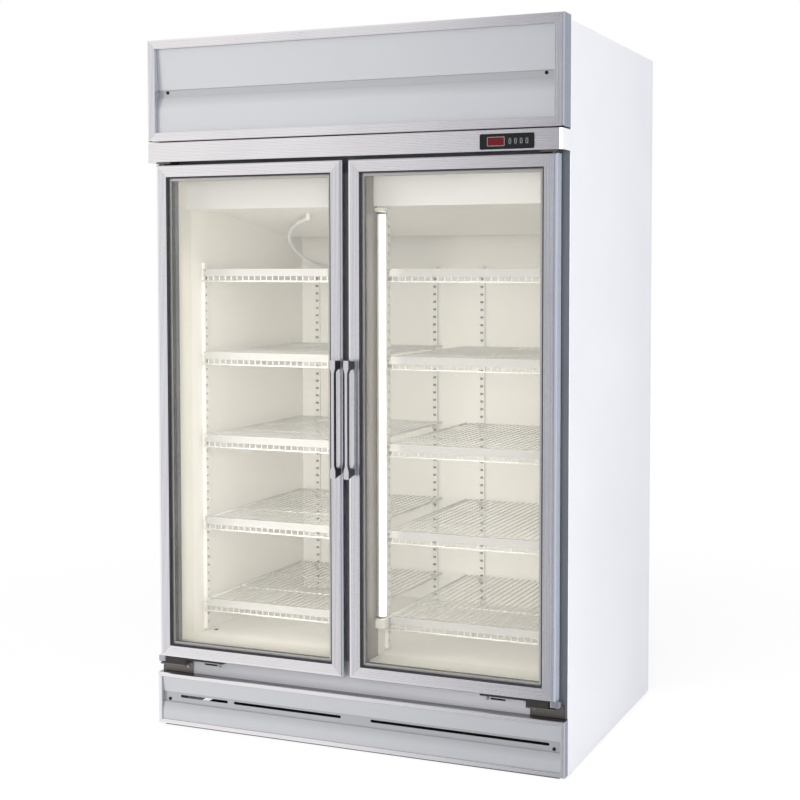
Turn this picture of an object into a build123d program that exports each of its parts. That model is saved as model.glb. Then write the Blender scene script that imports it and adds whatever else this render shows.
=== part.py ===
from build123d import *
import os
from math import pi, radians, tan

# Two-door upright display fridge with its condensing unit behind the canopy.
# Millimetres, +Z up, front towards -Y. The origin is on the floor under the middle of
# the whole object, which reaches from the front of the handles to the rear flanges.

# Cabinet
WIDTH = 1255.0
CABINET_DEPTH = 878.0
SIDE_TOP = 1998.0
SKIN = 1.2
FLOOR_GAP = 5.0
REAR_FLANGE = 20.0
SIDE_WALL = 50.5
BACK_WALL = 55.0
BASE_Z = 194.0
FLOOR_Z = 246.0
CEILING_Z = 1662.0
ROOF_Z = 1717.0
LINER = 1.0

# Front frame, flush with the front edges of the side panels
FRAME_SHEET = 1.5
FRAME_RETURN = 20.0
FRAME_BOTTOM = 150.0
FRAME_TOP_DROP = 8.0
OPENING_TOP = 1618.0
MULLION_FACE_HALF = 40.0
MULLION_HALF = 28.0
MULLION_DEPTH = 176.0
STRIP = 4.0
MULLION_STRIP = 8.0
STRIP_DEPTH = 88.0
SILL_SLOT = (44.0, 5.0)
SILL_SLOT_INSETS = (164.5, 196.5)
SILL_SLOT_Z = 188.5
SILL_SCREW_GAP = 30.0

# Doors
DOOR_BOTTOM = 212.0
DOOR_HEIGHT = 1440.0
DOOR_THICKNESS = 41.0
DOOR_STAND_OFF = 51.0
DOOR_INSET = 21.0
DOOR_GAP = 16.0
STILE = 35.0
GASKET_INSET = 15.0
GASKET_WIDTH = 16.5
GASKET_CLEARANCE = 0.3
REBATE_U = 20.0
GLASS_EDGE_U = 22.0
LIP = 4.0
SEAL = 2.0
SEAL_SHOWS = 4.5
PANE = 4.0
PANE_GAP = 14.0
SPACER = (39.0, 8.0)
MITRE_GAP = 0.2
DOOR_CORNER = 8.0
RAIL_WALL = 2.0
GASKET_WAIST = 2.0

# Handles
HANDLE_REACH = 38.0
HANDLE_LENGTH = 326.0
HANDLE_BOTTOM = 775.5
HANDLE_INSET = 12.2
HANDLE_WIDTH = 15.0
HANDLE_BAR_WIDTH = 7.0
HANDLE_BAR_DEPTH = 15.0
HANDLE_END = 26.0
HANDLE_SLANTS = (4.0, 8.0)
HANDLE_CORNER = 13.0
HANDLE_SHOULDER = 22.0
HANDLE_RAMP = 14.0

# Door hinges
PIVOT_INSET = 14.0
PIN_R = 5.0
TOP_PIN_R = 4.0
PIN_CLEARANCE = 0.06
PIVOT_BLOCK = 28.0
PIVOT_BLOCK_SHIFT = 10.0
HINGE_PLATE_Z = 189.0
HINGE_PLATE = 4.5
HINGE_BACK = 104.5
TOP_PLATE_GAP = 3.0
TOP_PLATE = 3.5
SPRING_BOX_LENGTH = 62.5
SPRING_BOX_GAP = 5.0
CLOSER_LENGTH = 130.0

# Canopy, header and kick plate
CANOPY_RISE = 12.0
CANOPY_GAP = 4.0
CANOPY_DEPTH = 59.0
CANOPY_FACE = 26.0
CANOPY_RETURN = 27.0
CANOPY_PANEL = (13.0, 20.0)
HEADER_GAP = 7.0
HEADER_HEIGHT = 55.0
HEADER_DEPTH = 70.0
EAR_RETURN = 9.0
KICK_TOP = 157.5
KICK_DEPTH = 29.0
KICK_FACE = 13.0
KICK_RETURN = 17.0
KICK_PANEL = (4.0, 9.0)
FRAME_CORNER = 5.0
FRAME_WALL = 3.0
RETURN_WALL = 2.0
PANEL_FIT = 0.3
PANEL_SHEET = 1.5
CHANNEL_STEP = 5.0
FLUTE_PITCH = 4.2
FLUTE_WIDTH = 1.6
FLUTE_DEPTH = 0.8
CANOPY_CHANNEL = (1845.5, 1867.0)
CANOPY_SLOPE = 33.0
KICK_CHANNEL = (69.5, 100.5)
KICK_SLOPE = 28.0
KICK_SLOT_HEIGHT = 8.0
KICK_SLOT_DROP = 12.0
KICK_SLOT_END = 46.0

# Controller in the header
CONTROLLER = (149.0, 40.0)
CONTROLLER_INSET = 151.0
CONTROLLER_PROUD = 2.5
KEY_SIZE = (10.0, 18.0)
KEY_START = 9.5
KEY_PITCH = 15.5
KEY_TRAVEL = 0.6
KEY_CLEARANCE = 0.3

# Shelving
SHELF_Z = (350.0, 600.0, 850.0, 1100.0, 1350.0)
SHELF_FRONT = 130.0
SHELF_BACK_GAP = 45.0
SHELF_SIDE_GAP = 3.0
SHELF_WIRES = 27
WIRE = 3.2
CROSS_WIRE = 5.0
SHELF_DROP = 37.5
RAIL_TILT = 1.5
RAIL_HEIGHT = 22.0
RAIL_SHEET = 2.0
RAIL_ENDS = (10.0, 20.0)
PILASTER = (18.0, 10.0)
PILASTER_SHEET = 1.2
PILASTER_PITCH = 25.0
PILASTER_SLOT = (11.0, 7.0)
PILASTER_TOPS = {"wall": 1370.0, "mullion": 1520.0, "back": 1357.0}
FRONT_PILASTER_Y = 165.0
BACK_PILASTER_INSETS = (42.0, 47.0)
CLIP = (24.0, 34.0, 3.0)

# Cooling at the ceiling
COVER_Y = 63.0
COVER_SHEET = 2.0
COVER_BOTTOM = 1527.0
COVER_TOP = 1655.0
PAN_SHEET = 1.5
PAN_FLAT_END = 275.0
PAN_END = 720.0
PAN_FALL = 67.0
BLOWER_R = 42.0
BLOWER_Y = 330.0
BLOWER_Z = 1592.0
BLOWER_END_GAP = 157.0
COIL_END_GAP = 107.0
COIL = (220.0, 120.0)
COIL_Y = 420.0
COIL_BOTTOM = 1530.0

# Lamps beside the mullion
LAMP_R = 12.5
LAMP_X = 50.0
LAMP_Y = 84.0
LAMP_RISE = 110.0
LAMP_DROP = 15.0
HOLDER = 26.0

# Drain hose from the pan to the back wall
HOSE_R = 6.5
SPOUT_R = 8.0
SPOUT_LENGTH = 14.0
HOSE_POINTS = [
    (-302.0, 315.0, 1504.0),
    (-339.0, 352.0, 1499.0),
    (-383.0, 398.0, 1487.5),
    (-430.0, 455.0, 1472.0),
    (-470.0, 520.0, 1451.5),
    (-496.0, 585.0, 1428.5),
    (-505.5, 640.0, 1408.5),
    (-507.0, 690.0, 1388.5),
    (-500.0, 736.0, 1370.0),
    (-486.0, 772.0, 1359.0),
    (-476.0, 800.0, 1354.5),
    (-476.0, 823.0, 1354.5),
]

# Condensing unit on the roof
CONDENSER = (360.0, 80.0, 230.0)
CONDENSER_X = -240.0
CONDENSER_Y = 130.0
FAN_R = 96.0
FAN_HUB_R = 26.0
FAN_SHAFT_R = 4.0
COMPRESSOR_X = 250.0
COMPRESSOR_Y = 430.0
COMPRESSOR_R = 82.0
COMPRESSOR_HEIGHT = 170.0
GROMMET = (11.0, 16.0)

# Feet and base frame
TUBE = 40.0
TUBE_WALL = 2.0
POST_PLATE = 5.0
POST_BOTTOM = 45.0
FOOT_R = 24.0
FOOT_PAD = 12.0
FOOT_STEM_R = 8.0

# Derived places. Depths such as SHELF_FRONT are measured back from the front frame's face.
HALF = WIDTH / 2
FRONT = -(CABINET_DEPTH - DOOR_STAND_OFF - HANDLE_REACH) / 2
FRAME_TOP = SIDE_TOP - FRAME_TOP_DROP
CANOPY_TOP = SIDE_TOP + CANOPY_RISE
INSIDE_SKIN = HALF - SKIN
INNER_HALF = HALF - SIDE_WALL
OPENING_HALF = INNER_HALF - STRIP
LINER_BACK = CABINET_DEPTH - BACK_WALL
PANEL_BACK = CABINET_DEPTH - SKIN
DOOR_OUTER = HALF - DOOR_INSET
DOOR_INNER = DOOR_GAP / 2
DOOR_TOP = DOOR_BOTTOM + DOOR_HEIGHT
HEADER_BOTTOM = DOOR_TOP + HEADER_GAP
HEADER_TOP = HEADER_BOTTOM + HEADER_HEIGHT
CANOPY_BOTTOM = HEADER_TOP + CANOPY_GAP
PIVOT_X = DOOR_OUTER - PIVOT_INSET
PIVOT_Y = -DOOR_STAND_OFF + DOOR_THICKNESS / 2
SHELF_LEFT = MULLION_HALF + PILASTER[1] + SHELF_SIDE_GAP
SHELF_RIGHT = INNER_HALF - PILASTER[1] - SHELF_SIDE_GAP
SHELF_BACK = LINER_BACK - SHELF_BACK_GAP
SHELF_WIDTH = SHELF_RIGHT - SHELF_LEFT
SHELF_MIDDLE = (SHELF_LEFT + SHELF_RIGHT) / 2
SHELF_UNDER = WIRE + CROSS_WIRE
BACK_PILASTER_X = (SHELF_LEFT + BACK_PILASTER_INSETS[0], SHELF_RIGHT - BACK_PILASTER_INSETS[1])
LAMP_SPAN = (FLOOR_Z + LAMP_RISE, COVER_BOTTOM - LAMP_DROP)
CONTROLLER_X = HALF - CONTROLLER_INSET
KEY_XS = tuple(CONTROLLER_X + KEY_START + KEY_PITCH * number for number in range(4))
BLOWER_LENGTH = 2 * (INNER_HALF - BLOWER_END_GAP)
KICK_SLOTS = (
    (-HALF + 69.0, -HALF + 228.5),
    (-HALF + 248.5, -33.5),
    (58.0, HALF - KICK_SLOT_END),
)
SIDES = ((-1, "left"), (1, "right"))

os.makedirs("parts", exist_ok=True)


def save(shape, name):
    shape.label = name
    export_step(shape, f"parts/{name}.step")


def at(x, depth, z):
    """A point from its depth behind the front frame's face."""
    return Vector(x, FRONT + depth, z)


def cuboid(xs, depths, zs, mode=Mode.ADD):
    """Adds a block to the part being built, from its spans in x, depth and z."""
    low = at(min(xs), min(depths), min(zs))
    high = at(max(xs), max(depths), max(zs))
    size = high - low
    with Locations((low + high) / 2):
        Box(size.X, size.Y, size.Z, mode=mode)


def block(xs, depths, zs):
    """A separate block, for groups whose pieces touch."""
    with BuildPart() as piece:
        cuboid(xs, depths, zs)
    return piece.part


def group(pieces):
    """Separate solids that stay one node."""
    return Compound(children=list(pieces))


def sheet_outline(points, thickness):
    """The closed outline of a folded sheet, thickened to the left of its path."""
    path = [Vector(*p) for p in points]
    runs = [(b - a).normalized() for a, b in zip(path, path[1:])]
    normals = [Vector(-r.Y, r.X) for r in runs]
    offsets = [normals[0]]
    for before, after in zip(normals, normals[1:]):
        middle = before + after
        offsets.append(middle * (2 / middle.dot(middle)))
    offsets.append(normals[-1])
    far = [p + n * thickness for p, n in zip(path, offsets)]
    return [(p.X, p.Y) for p in path + far[::-1]]


def folded_sheet(points, thickness, xs):
    """A sheet folded along x, from its path of (depth, z) points."""
    with BuildPart() as sheet:
        with BuildSketch(Plane(origin=at(min(xs), 0, 0), x_dir=(0, 1, 0), z_dir=(1, 0, 0))):
            Polygon(*sheet_outline(points, thickness))
        extrude(amount=max(xs) - min(xs))
    return sheet.part


def fluted_run(start, end):
    """Points along a fluted face, in (along, depth) pairs, with V grooves at an even pitch."""
    count = int((end - start - FLUTE_PITCH) // FLUTE_PITCH) + 1
    first = (start + end - (count - 1) * FLUTE_PITCH) / 2
    points = [(start, 0)]
    for i in range(count):
        middle = first + i * FLUTE_PITCH
        points += [
            (middle - FLUTE_WIDTH / 2, 0),
            (middle, FLUTE_DEPTH),
            (middle + FLUTE_WIDTH / 2, 0),
        ]
    return points + [(end, 0)]


def mitred_frame(profile, xs, zs, depth):
    """Four rails round an opening, each cut at 45 degrees, from a profile of (inward, depth)."""
    x0, x1 = xs
    z0, z1 = zs
    starts = (
        (at(x1, depth, z0), Vector(0, 0, 1), x1 - x0),
        (at(x0, depth, z0), Vector(1, 0, 0), z1 - z0),
        (at(x0, depth, z1), Vector(0, 0, -1), x1 - x0),
        (at(x1, depth, z1), Vector(-1, 0, 0), z1 - z0),
    )
    rails = []
    for start, inward, length in starts:
        run = inward.cross(Vector(0, 1, 0))
        end = start + run * length
        with BuildPart() as rail:
            with BuildSketch(Plane(origin=start, x_dir=inward, z_dir=run)):
                add(profile)
            extrude(amount=length)
            split(bisect_by=Plane(origin=start + run * MITRE_GAP, z_dir=run - inward), keep=Keep.TOP)
            split(bisect_by=Plane(origin=end - run * MITRE_GAP, z_dir=-run - inward), keep=Keep.TOP)
        rails.append(rail.part)
    return rails


def round_cornered(radius, face, rest):
    """A rail profile whose outer front corner is round, from its face and its other points."""
    with BuildSketch() as profile:
        with BuildLine():
            Polyline(*face, *rest, (0, radius))
            CenterArc((radius, radius), radius, 180, 90)
        make_face()
    return profile.sketch


# Door rail: a hollow box with a lip in front of the glass and another behind it
REAR_LIP = LIP + 2 * SEAL + 2 * PANE + PANE_GAP
door_rail_solid = round_cornered(
    DOOR_CORNER,
    fluted_run(DOOR_CORNER, STILE),
    (
        (STILE, LIP),
        (REBATE_U, LIP),
        (REBATE_U, REAR_LIP),
        (STILE - 3, REAR_LIP),
        (STILE - 3, DOOR_THICKNESS),
        (0, DOOR_THICKNESS),
    ),
)
with BuildSketch() as door_rail:
    add(door_rail_solid)
    with Locations((REBATE_U / 2, (DOOR_THICKNESS + RAIL_WALL + 1) / 2)):
        Rectangle(REBATE_U - 2 * RAIL_WALL, DOOR_THICKNESS - 3 * RAIL_WALL - 1, mode=Mode.SUBTRACT)

# Glazing seals before and behind the panes, the bar between the panes, and the door gasket
seal_u = GLASS_EDGE_U + 2
with BuildSketch() as front_seal:
    Polygon(
        (seal_u, LIP),
        (STILE + 0.2, LIP),
        (STILE + 0.2, 1.5),
        (STILE + SEAL_SHOWS - 1, 1.5),
        (STILE + SEAL_SHOWS, 3.0),
        (STILE + SEAL_SHOWS, LIP + SEAL),
        (seal_u, LIP + SEAL),
    )
with BuildSketch() as rear_seal:
    with Locations(((seal_u + STILE) / 2, REAR_LIP - SEAL / 2)):
        Rectangle(STILE - seal_u, SEAL)
with BuildSketch() as spacer_bar:
    with Locations((SPACER[0] + SPACER[1] / 2, LIP + SEAL + PANE + PANE_GAP / 2)):
        Rectangle(SPACER[1], PANE_GAP)
gasket_end = GASKET_INSET + GASKET_WIDTH
gasket_front = DOOR_THICKNESS
gasket_back = DOOR_STAND_OFF - GASKET_CLEARANCE
gasket_third = (gasket_back - gasket_front) / 3
with BuildSketch() as gasket_strip:
    Polygon(
        (GASKET_INSET, gasket_front),
        (gasket_end, gasket_front),
        (gasket_end, gasket_front + gasket_third),
        (gasket_end - GASKET_WAIST, gasket_front + 1.5 * gasket_third),
        (gasket_end, gasket_back - gasket_third),
        (gasket_end, gasket_back),
        (GASKET_INSET, gasket_back),
        (GASKET_INSET, gasket_back - gasket_third),
        (GASKET_INSET + GASKET_WAIST, gasket_front + 1.5 * gasket_third),
        (GASKET_INSET, gasket_front + gasket_third),
    )

# Canopy and kick plate rails: a side wall, a face flange, and a return beside the panels
canopy_rail = round_cornered(
    FRAME_CORNER,
    fluted_run(FRAME_CORNER, CANOPY_FACE),
    (
        (CANOPY_FACE, CANOPY_RETURN),
        (CANOPY_FACE - RETURN_WALL, CANOPY_RETURN),
        (CANOPY_FACE - RETURN_WALL, FRAME_WALL),
        (FRAME_WALL, FRAME_WALL),
        (FRAME_WALL, CANOPY_DEPTH),
        (0, CANOPY_DEPTH),
    ),
)
kick_rail = round_cornered(
    FRAME_CORNER,
    ((FRAME_CORNER, 0), (KICK_FACE - 1.5, 0), (KICK_FACE, 1.5)),
    (
        (KICK_FACE, KICK_RETURN),
        (KICK_FACE - RETURN_WALL, KICK_RETURN),
        (KICK_FACE - RETURN_WALL, FRAME_WALL),
        (FRAME_WALL, FRAME_WALL),
        (FRAME_WALL, KICK_DEPTH),
        (0, KICK_DEPTH),
    ),
)


# Side panels, each with an ear beside the header and a rear flange
for side, word in SIDES:
    with BuildPart() as side_panel:
        with BuildSketch(Plane(origin=at(side * HALF, 0, 0), x_dir=(0, 1, 0), z_dir=(1, 0, 0))):
            Polygon(
                (0, FLOOR_GAP),
                (CABINET_DEPTH, FLOOR_GAP),
                (CABINET_DEPTH, SIDE_TOP),
                (0, SIDE_TOP),
                (0, HEADER_TOP),
                (-HEADER_DEPTH, HEADER_TOP),
                (-HEADER_DEPTH, HEADER_BOTTOM),
                (0, HEADER_BOTTOM),
            )
        extrude(amount=-side * SKIN)
        ear_front = (-HEADER_DEPTH, -HEADER_DEPTH + SKIN)
        cuboid((side * INSIDE_SKIN, side * (HALF - EAR_RETURN)), ear_front, (HEADER_BOTTOM, HEADER_TOP))
        rear = (PANEL_BACK, CABINET_DEPTH)
        cuboid((side * INSIDE_SKIN, side * (HALF - REAR_FLANGE)), rear, (FLOOR_GAP, SIDE_TOP))
    save(side_panel.part, f"side_panel_{word}")

# Back panel, with louvres behind the condensing unit
with BuildPart() as back_panel:
    cuboid((-INSIDE_SKIN, INSIDE_SKIN), (PANEL_BACK - SKIN, PANEL_BACK), (POST_BOTTOM, SIDE_TOP))
    middle = at(0, PANEL_BACK, (ROOF_Z + SIDE_TOP) / 2)
    with BuildSketch(Plane(origin=middle, x_dir=(1, 0, 0), z_dir=(0, -1, 0))):
        with GridLocations(0.48 * INSIDE_SKIN, 18, 3, 10):
            SlotOverall(240, 8)
    extrude(amount=2 * SKIN, mode=Mode.SUBTRACT)
save(back_panel.part, "back_panel")

# Foam insulation between the skins
foam_back = PANEL_BACK - SKIN
wall_zs = (FLOOR_Z - LINER, CEILING_Z + LINER)
foam_inner = INNER_HALF + LINER
insulation = group(
    [
        block((-INSIDE_SKIN, INSIDE_SKIN), (FRAME_RETURN, foam_back), (BASE_Z, wall_zs[0])),
        block((-INSIDE_SKIN, INSIDE_SKIN), (FRAME_RETURN, foam_back), (wall_zs[1], ROOF_Z)),
        block((-INSIDE_SKIN, -foam_inner), (FRAME_RETURN, foam_back), wall_zs),
        block((foam_inner, INSIDE_SKIN), (FRAME_RETURN, foam_back), wall_zs),
        block((-foam_inner, foam_inner), (LINER_BACK + LINER, foam_back), wall_zs),
    ]
)
save(insulation, "insulation")

# Inner liner sheets
inner_liner = group(
    [
        block((-foam_inner, foam_inner), (FRAME_RETURN, LINER_BACK + LINER), (FLOOR_Z - LINER, FLOOR_Z)),
        block((-foam_inner, foam_inner), (FRAME_RETURN, LINER_BACK + LINER), (CEILING_Z, CEILING_Z + LINER)),
        block((-foam_inner, -INNER_HALF), (FRAME_RETURN, LINER_BACK + LINER), (FLOOR_Z, CEILING_Z)),
        block((INNER_HALF, foam_inner), (FRAME_RETURN, LINER_BACK + LINER), (FLOOR_Z, CEILING_Z)),
        block((-INNER_HALF, INNER_HALF), (LINER_BACK, LINER_BACK + LINER), (FLOOR_Z, CEILING_Z)),
    ]
)
save(inner_liner, "inner_liner")

# Roof deck that carries the condensing unit
machine_deck = block((-INSIDE_SKIN, INSIDE_SKIN), (FRAME_RETURN, foam_back), (ROOF_Z, ROOF_Z + SKIN))
save(machine_deck, "machine_deck")
DECK_TOP = ROOF_Z + SKIN


def channel(face_xs, face_zs, upright):
    """A folded channel of the front frame, open at the back."""
    with BuildPart() as piece:
        cuboid(face_xs, (0, FRAME_RETURN), face_zs)
        if upright:
            hollow_xs = (min(face_xs) + FRAME_SHEET, max(face_xs) - FRAME_SHEET)
            cuboid(hollow_xs, (FRAME_SHEET, FRAME_RETURN), face_zs, mode=Mode.SUBTRACT)
        else:
            hollow_zs = (min(face_zs) + FRAME_SHEET, max(face_zs) - FRAME_SHEET)
            cuboid(face_xs, (FRAME_SHEET, FRAME_RETURN), hollow_zs, mode=Mode.SUBTRACT)
    return piece.part


# Front frame: two stiles that run up behind the canopy, and two cross rails
top_rail_zs = (FRAME_TOP - 40, FRAME_TOP)
front_frame = group(
    [
        channel((-INSIDE_SKIN, -OPENING_HALF), (FRAME_BOTTOM, FRAME_TOP), True),
        channel((OPENING_HALF, INSIDE_SKIN), (FRAME_BOTTOM, FRAME_TOP), True),
        channel((-OPENING_HALF, OPENING_HALF), (OPENING_TOP, ROOF_Z), False),
        channel((-OPENING_HALF, OPENING_HALF), top_rail_zs, False),
    ]
)
save(front_frame, "front_frame")

# Sill rail under the doors, with a slot near each hinge
sill_channel = channel((-OPENING_HALF, OPENING_HALF), (FRAME_BOTTOM, FLOOR_Z), False)
with BuildPart() as sill_rail:
    add(sill_channel)
    for (side, _), inset in zip(SIDES, SILL_SLOT_INSETS):
        slot_at = at(side * (HALF - inset), 0, SILL_SLOT_Z)
        with BuildSketch(Plane(origin=slot_at, x_dir=(1, 0, 0), z_dir=(0, 1, 0))):
            SlotOverall(*SILL_SLOT)
        extrude(amount=FRAME_SHEET, mode=Mode.SUBTRACT)
save(sill_rail.part, "sill_rail")

# Mullion: a hollow post behind a wider face plate
with BuildPart() as mullion:
    cuboid((-MULLION_FACE_HALF, MULLION_FACE_HALF), (0, FRAME_SHEET), (FLOOR_Z, OPENING_TOP))
    post_zs = (FLOOR_Z, CEILING_Z)
    cuboid((-MULLION_HALF, MULLION_HALF), (FRAME_RETURN, MULLION_DEPTH), post_zs)
    cuboid((-MULLION_HALF, MULLION_HALF), (FRAME_SHEET, FRAME_RETURN), (FLOOR_Z, OPENING_TOP))
    hollow = MULLION_HALF - FRAME_SHEET
    hollow_back = MULLION_DEPTH - FRAME_SHEET
    hollow_top = OPENING_TOP - FRAME_SHEET
    cuboid((-hollow, hollow), (2 * FRAME_SHEET, hollow_back), (FLOOR_Z, hollow_top), mode=Mode.SUBTRACT)
    upper_depths = (FRAME_RETURN + FRAME_SHEET, hollow_back)
    cuboid((-hollow, hollow), upper_depths, (hollow_top, CEILING_Z), mode=Mode.SUBTRACT)
save(mullion.part, "mullion")

# Thermal breaker strips round both bays
strip_top = OPENING_TOP + STRIP
strip_zs = (FLOOR_Z + STRIP, OPENING_TOP)
strip_depths = (FRAME_SHEET, STRIP_DEPTH)
mullion_face = MULLION_HALF + MULLION_STRIP
breaker_pieces = []
for side, _ in SIDES:
    bay_xs = (side * MULLION_HALF, side * INNER_HALF)
    breaker_pieces += [
        block((side * OPENING_HALF, side * INNER_HALF), (FRAME_RETURN, STRIP_DEPTH), strip_zs),
        block((side * MULLION_HALF, side * mullion_face), strip_depths, strip_zs),
        block(bay_xs, (FRAME_RETURN, STRIP_DEPTH), (FLOOR_Z, FLOOR_Z + STRIP)),
        block(bay_xs, (FRAME_RETURN, COVER_Y), (OPENING_TOP, strip_top)),
    ]
save(group(breaker_pieces), "breaker_strips")


def pilaster(height):
    """A slotted channel that stands along z, its back on the plane y = 0 and its face towards -y."""
    width, proud = PILASTER
    with BuildPart() as strip:
        with BuildSketch():
            with Locations((0, -proud / 2)):
                Rectangle(width, proud)
            with Locations((0, -(proud - PILASTER_SHEET) / 2)):
                Rectangle(width - 2 * PILASTER_SHEET, proud - PILASTER_SHEET, mode=Mode.SUBTRACT)
        extrude(amount=height)
        count = int((height - PILASTER_PITCH) // PILASTER_PITCH) + 1
        face = Plane(origin=(0, -proud, height / 2), x_dir=(1, 0, 0), z_dir=(0, 1, 0))
        with BuildSketch(face):
            with GridLocations(0, PILASTER_PITCH, 1, count):
                Rectangle(*PILASTER_SLOT)
        extrude(amount=PILASTER_SHEET, mode=Mode.SUBTRACT)
    return strip.part


# Slotted pilasters on the walls, the mullion and the back
pilaster_foot = FLOOR_Z + STRIP
pilaster_pieces = []
for side, _ in SIDES:
    wall = pilaster(PILASTER_TOPS["wall"] - pilaster_foot)
    wall_at = at(side * INNER_HALF, FRONT_PILASTER_Y, pilaster_foot)
    pilaster_pieces.append(wall.moved(Location(wall_at, (0, 0, -side * 90))))
    post = pilaster(PILASTER_TOPS["mullion"] - pilaster_foot)
    post_at = at(side * MULLION_HALF, FRONT_PILASTER_Y, pilaster_foot)
    pilaster_pieces.append(post.moved(Location(post_at, (0, 0, side * 90))))
    for x in BACK_PILASTER_X:
        rear = pilaster(PILASTER_TOPS["back"] - pilaster_foot)
        pilaster_pieces.append(rear.moved(Location(at(side * x, LINER_BACK, pilaster_foot))))
save(group(pilaster_pieces), "pilasters")

# One wire shelf, its front edge and top at the origin
shelf_depth = SHELF_BACK - SHELF_FRONT
wire_pitch = (SHELF_WIDTH - CROSS_WIRE) / (SHELF_WIRES - 1)
with BuildPart() as shelf:
    with BuildSketch(Plane.XY.offset(-WIRE)):
        with Locations((0, shelf_depth / 2)):
            with GridLocations(wire_pitch, 0, SHELF_WIRES, 1):
                Rectangle(WIRE, shelf_depth)
    extrude(amount=WIRE)
    with BuildSketch(Plane.XY.offset(-SHELF_UNDER)):
        with Locations((0, shelf_depth / 2)):
            with GridLocations(0, (shelf_depth - CROSS_WIRE) / 3, 1, 4):
                Rectangle(SHELF_WIDTH, CROSS_WIRE)
            with GridLocations(SHELF_WIDTH - CROSS_WIRE, 0, 2, 1):
                Rectangle(CROSS_WIRE, shelf_depth)
    extrude(amount=CROSS_WIRE)
    with BuildSketch(Plane.XY.offset(-SHELF_DROP + CROSS_WIRE)):
        with Locations((0, WIRE / 2)):
            with GridLocations(wire_pitch, 0, SHELF_WIRES, 1):
                Rectangle(WIRE, WIRE)
    extrude(amount=SHELF_DROP - CROSS_WIRE - WIRE)
    with BuildSketch(Plane.XY.offset(-SHELF_DROP)):
        with Locations((0, CROSS_WIRE / 2)):
            Rectangle(SHELF_WIDTH, CROSS_WIRE)
    extrude(amount=CROSS_WIRE)

for side, word in SIDES:
    for number, z in enumerate(SHELF_Z, start=1):
        placed = shelf.part.moved(Location(at(side * SHELF_MIDDLE, SHELF_FRONT, z)))
        save(placed, f"shelf_{word}_{number}")

# Ticket rail with slanted ends, hooked over a shelf's front wires, its top bend at the origin
rail_path = (
    (-RAIL_TILT, -RAIL_HEIGHT + RAIL_SHEET),
    (-0.5, 0),
    (12, 0),
)
low_inset, high_inset = RAIL_ENDS
rail_half = SHELF_WIDTH / 2
with BuildPart() as ticket_rail:
    with BuildSketch(Plane(origin=(-rail_half, 0, 0), x_dir=(0, 1, 0), z_dir=(1, 0, 0))):
        Polygon(*sheet_outline(rail_path, RAIL_SHEET))
    extrude(amount=SHELF_WIDTH)
    for side, _ in SIDES:
        corner = Vector(side * (rail_half - high_inset), 0, RAIL_SHEET)
        inward = Vector(-side * RAIL_HEIGHT, 0, low_inset - high_inset)
        split(bisect_by=Plane(origin=corner, z_dir=inward), keep=Keep.TOP)

ticket_rails = []
for side, _ in SIDES:
    for z in SHELF_Z:
        place = Location(at(side * SHELF_MIDDLE, SHELF_FRONT, z))
        ticket_rails.append(ticket_rail.part.moved(place))
save(group(ticket_rails), "ticket_rails")

# Triangular clips in the pilasters, under each shelf's corners
clip_reach, clip_height, clip_thick = CLIP
back_reach = LINER_BACK - PILASTER[1] - SHELF_BACK + CROSS_WIRE
front_clip_y = FRONT_PILASTER_Y - clip_thick / 2
with BuildPart() as front_clip:
    with BuildSketch(Plane.XZ):
        Polygon((0, 0), (clip_reach, 0), (0, -clip_height))
    extrude(amount=-clip_thick)
with BuildPart() as back_clip:
    with BuildSketch(Plane.YZ):
        Polygon((0, 0), (-back_reach, 0), (0, -clip_height))
    extrude(amount=clip_thick / 2, both=True)
clips = []
for side, _ in SIDES:
    for z in SHELF_Z:
        under = z - SHELF_UNDER
        post_x = MULLION_HALF + PILASTER[1]
        wall_x = INNER_HALF - PILASTER[1]
        inward = front_clip.part if side > 0 else mirror(front_clip.part, about=Plane.YZ)
        outward = mirror(inward, about=Plane.YZ)
        clips.append(inward.moved(Location(at(side * post_x, front_clip_y, under))))
        clips.append(outward.moved(Location(at(side * wall_x, front_clip_y, under))))
        for x in BACK_PILASTER_X:
            place = at(side * x, LINER_BACK - PILASTER[1], under)
            clips.append(back_clip.part.moved(Location(place)))
save(group(clips), "shelf_clips")

# Grey cover in front of the evaporator, with an intake slot row behind the doors' top rails
cover_pieces = []
for side, _ in SIDES:
    cover_depths = (COVER_Y, COVER_Y + COVER_SHEET)
    jamb_xs = (side * OPENING_HALF, side * INNER_HALF)
    with BuildPart() as cover:
        cuboid((side * mullion_face, side * INNER_HALF), cover_depths, (COVER_BOTTOM, COVER_TOP))
        cuboid(jamb_xs, cover_depths, (COVER_BOTTOM, OPENING_TOP), mode=Mode.SUBTRACT)
        intake = at(side * (mullion_face + OPENING_HALF) / 2, COVER_Y, COVER_TOP - 14)
        with BuildSketch(Plane(origin=intake, x_dir=(1, 0, 0), z_dir=(0, 1, 0))):
            with GridLocations(60, 0, 8, 1):
                SlotOverall(44, 10)
        extrude(amount=COVER_SHEET, mode=Mode.SUBTRACT)
    cover_pieces.append(cover.part)
save(group(cover_pieces), "evaporator_cover")

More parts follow.
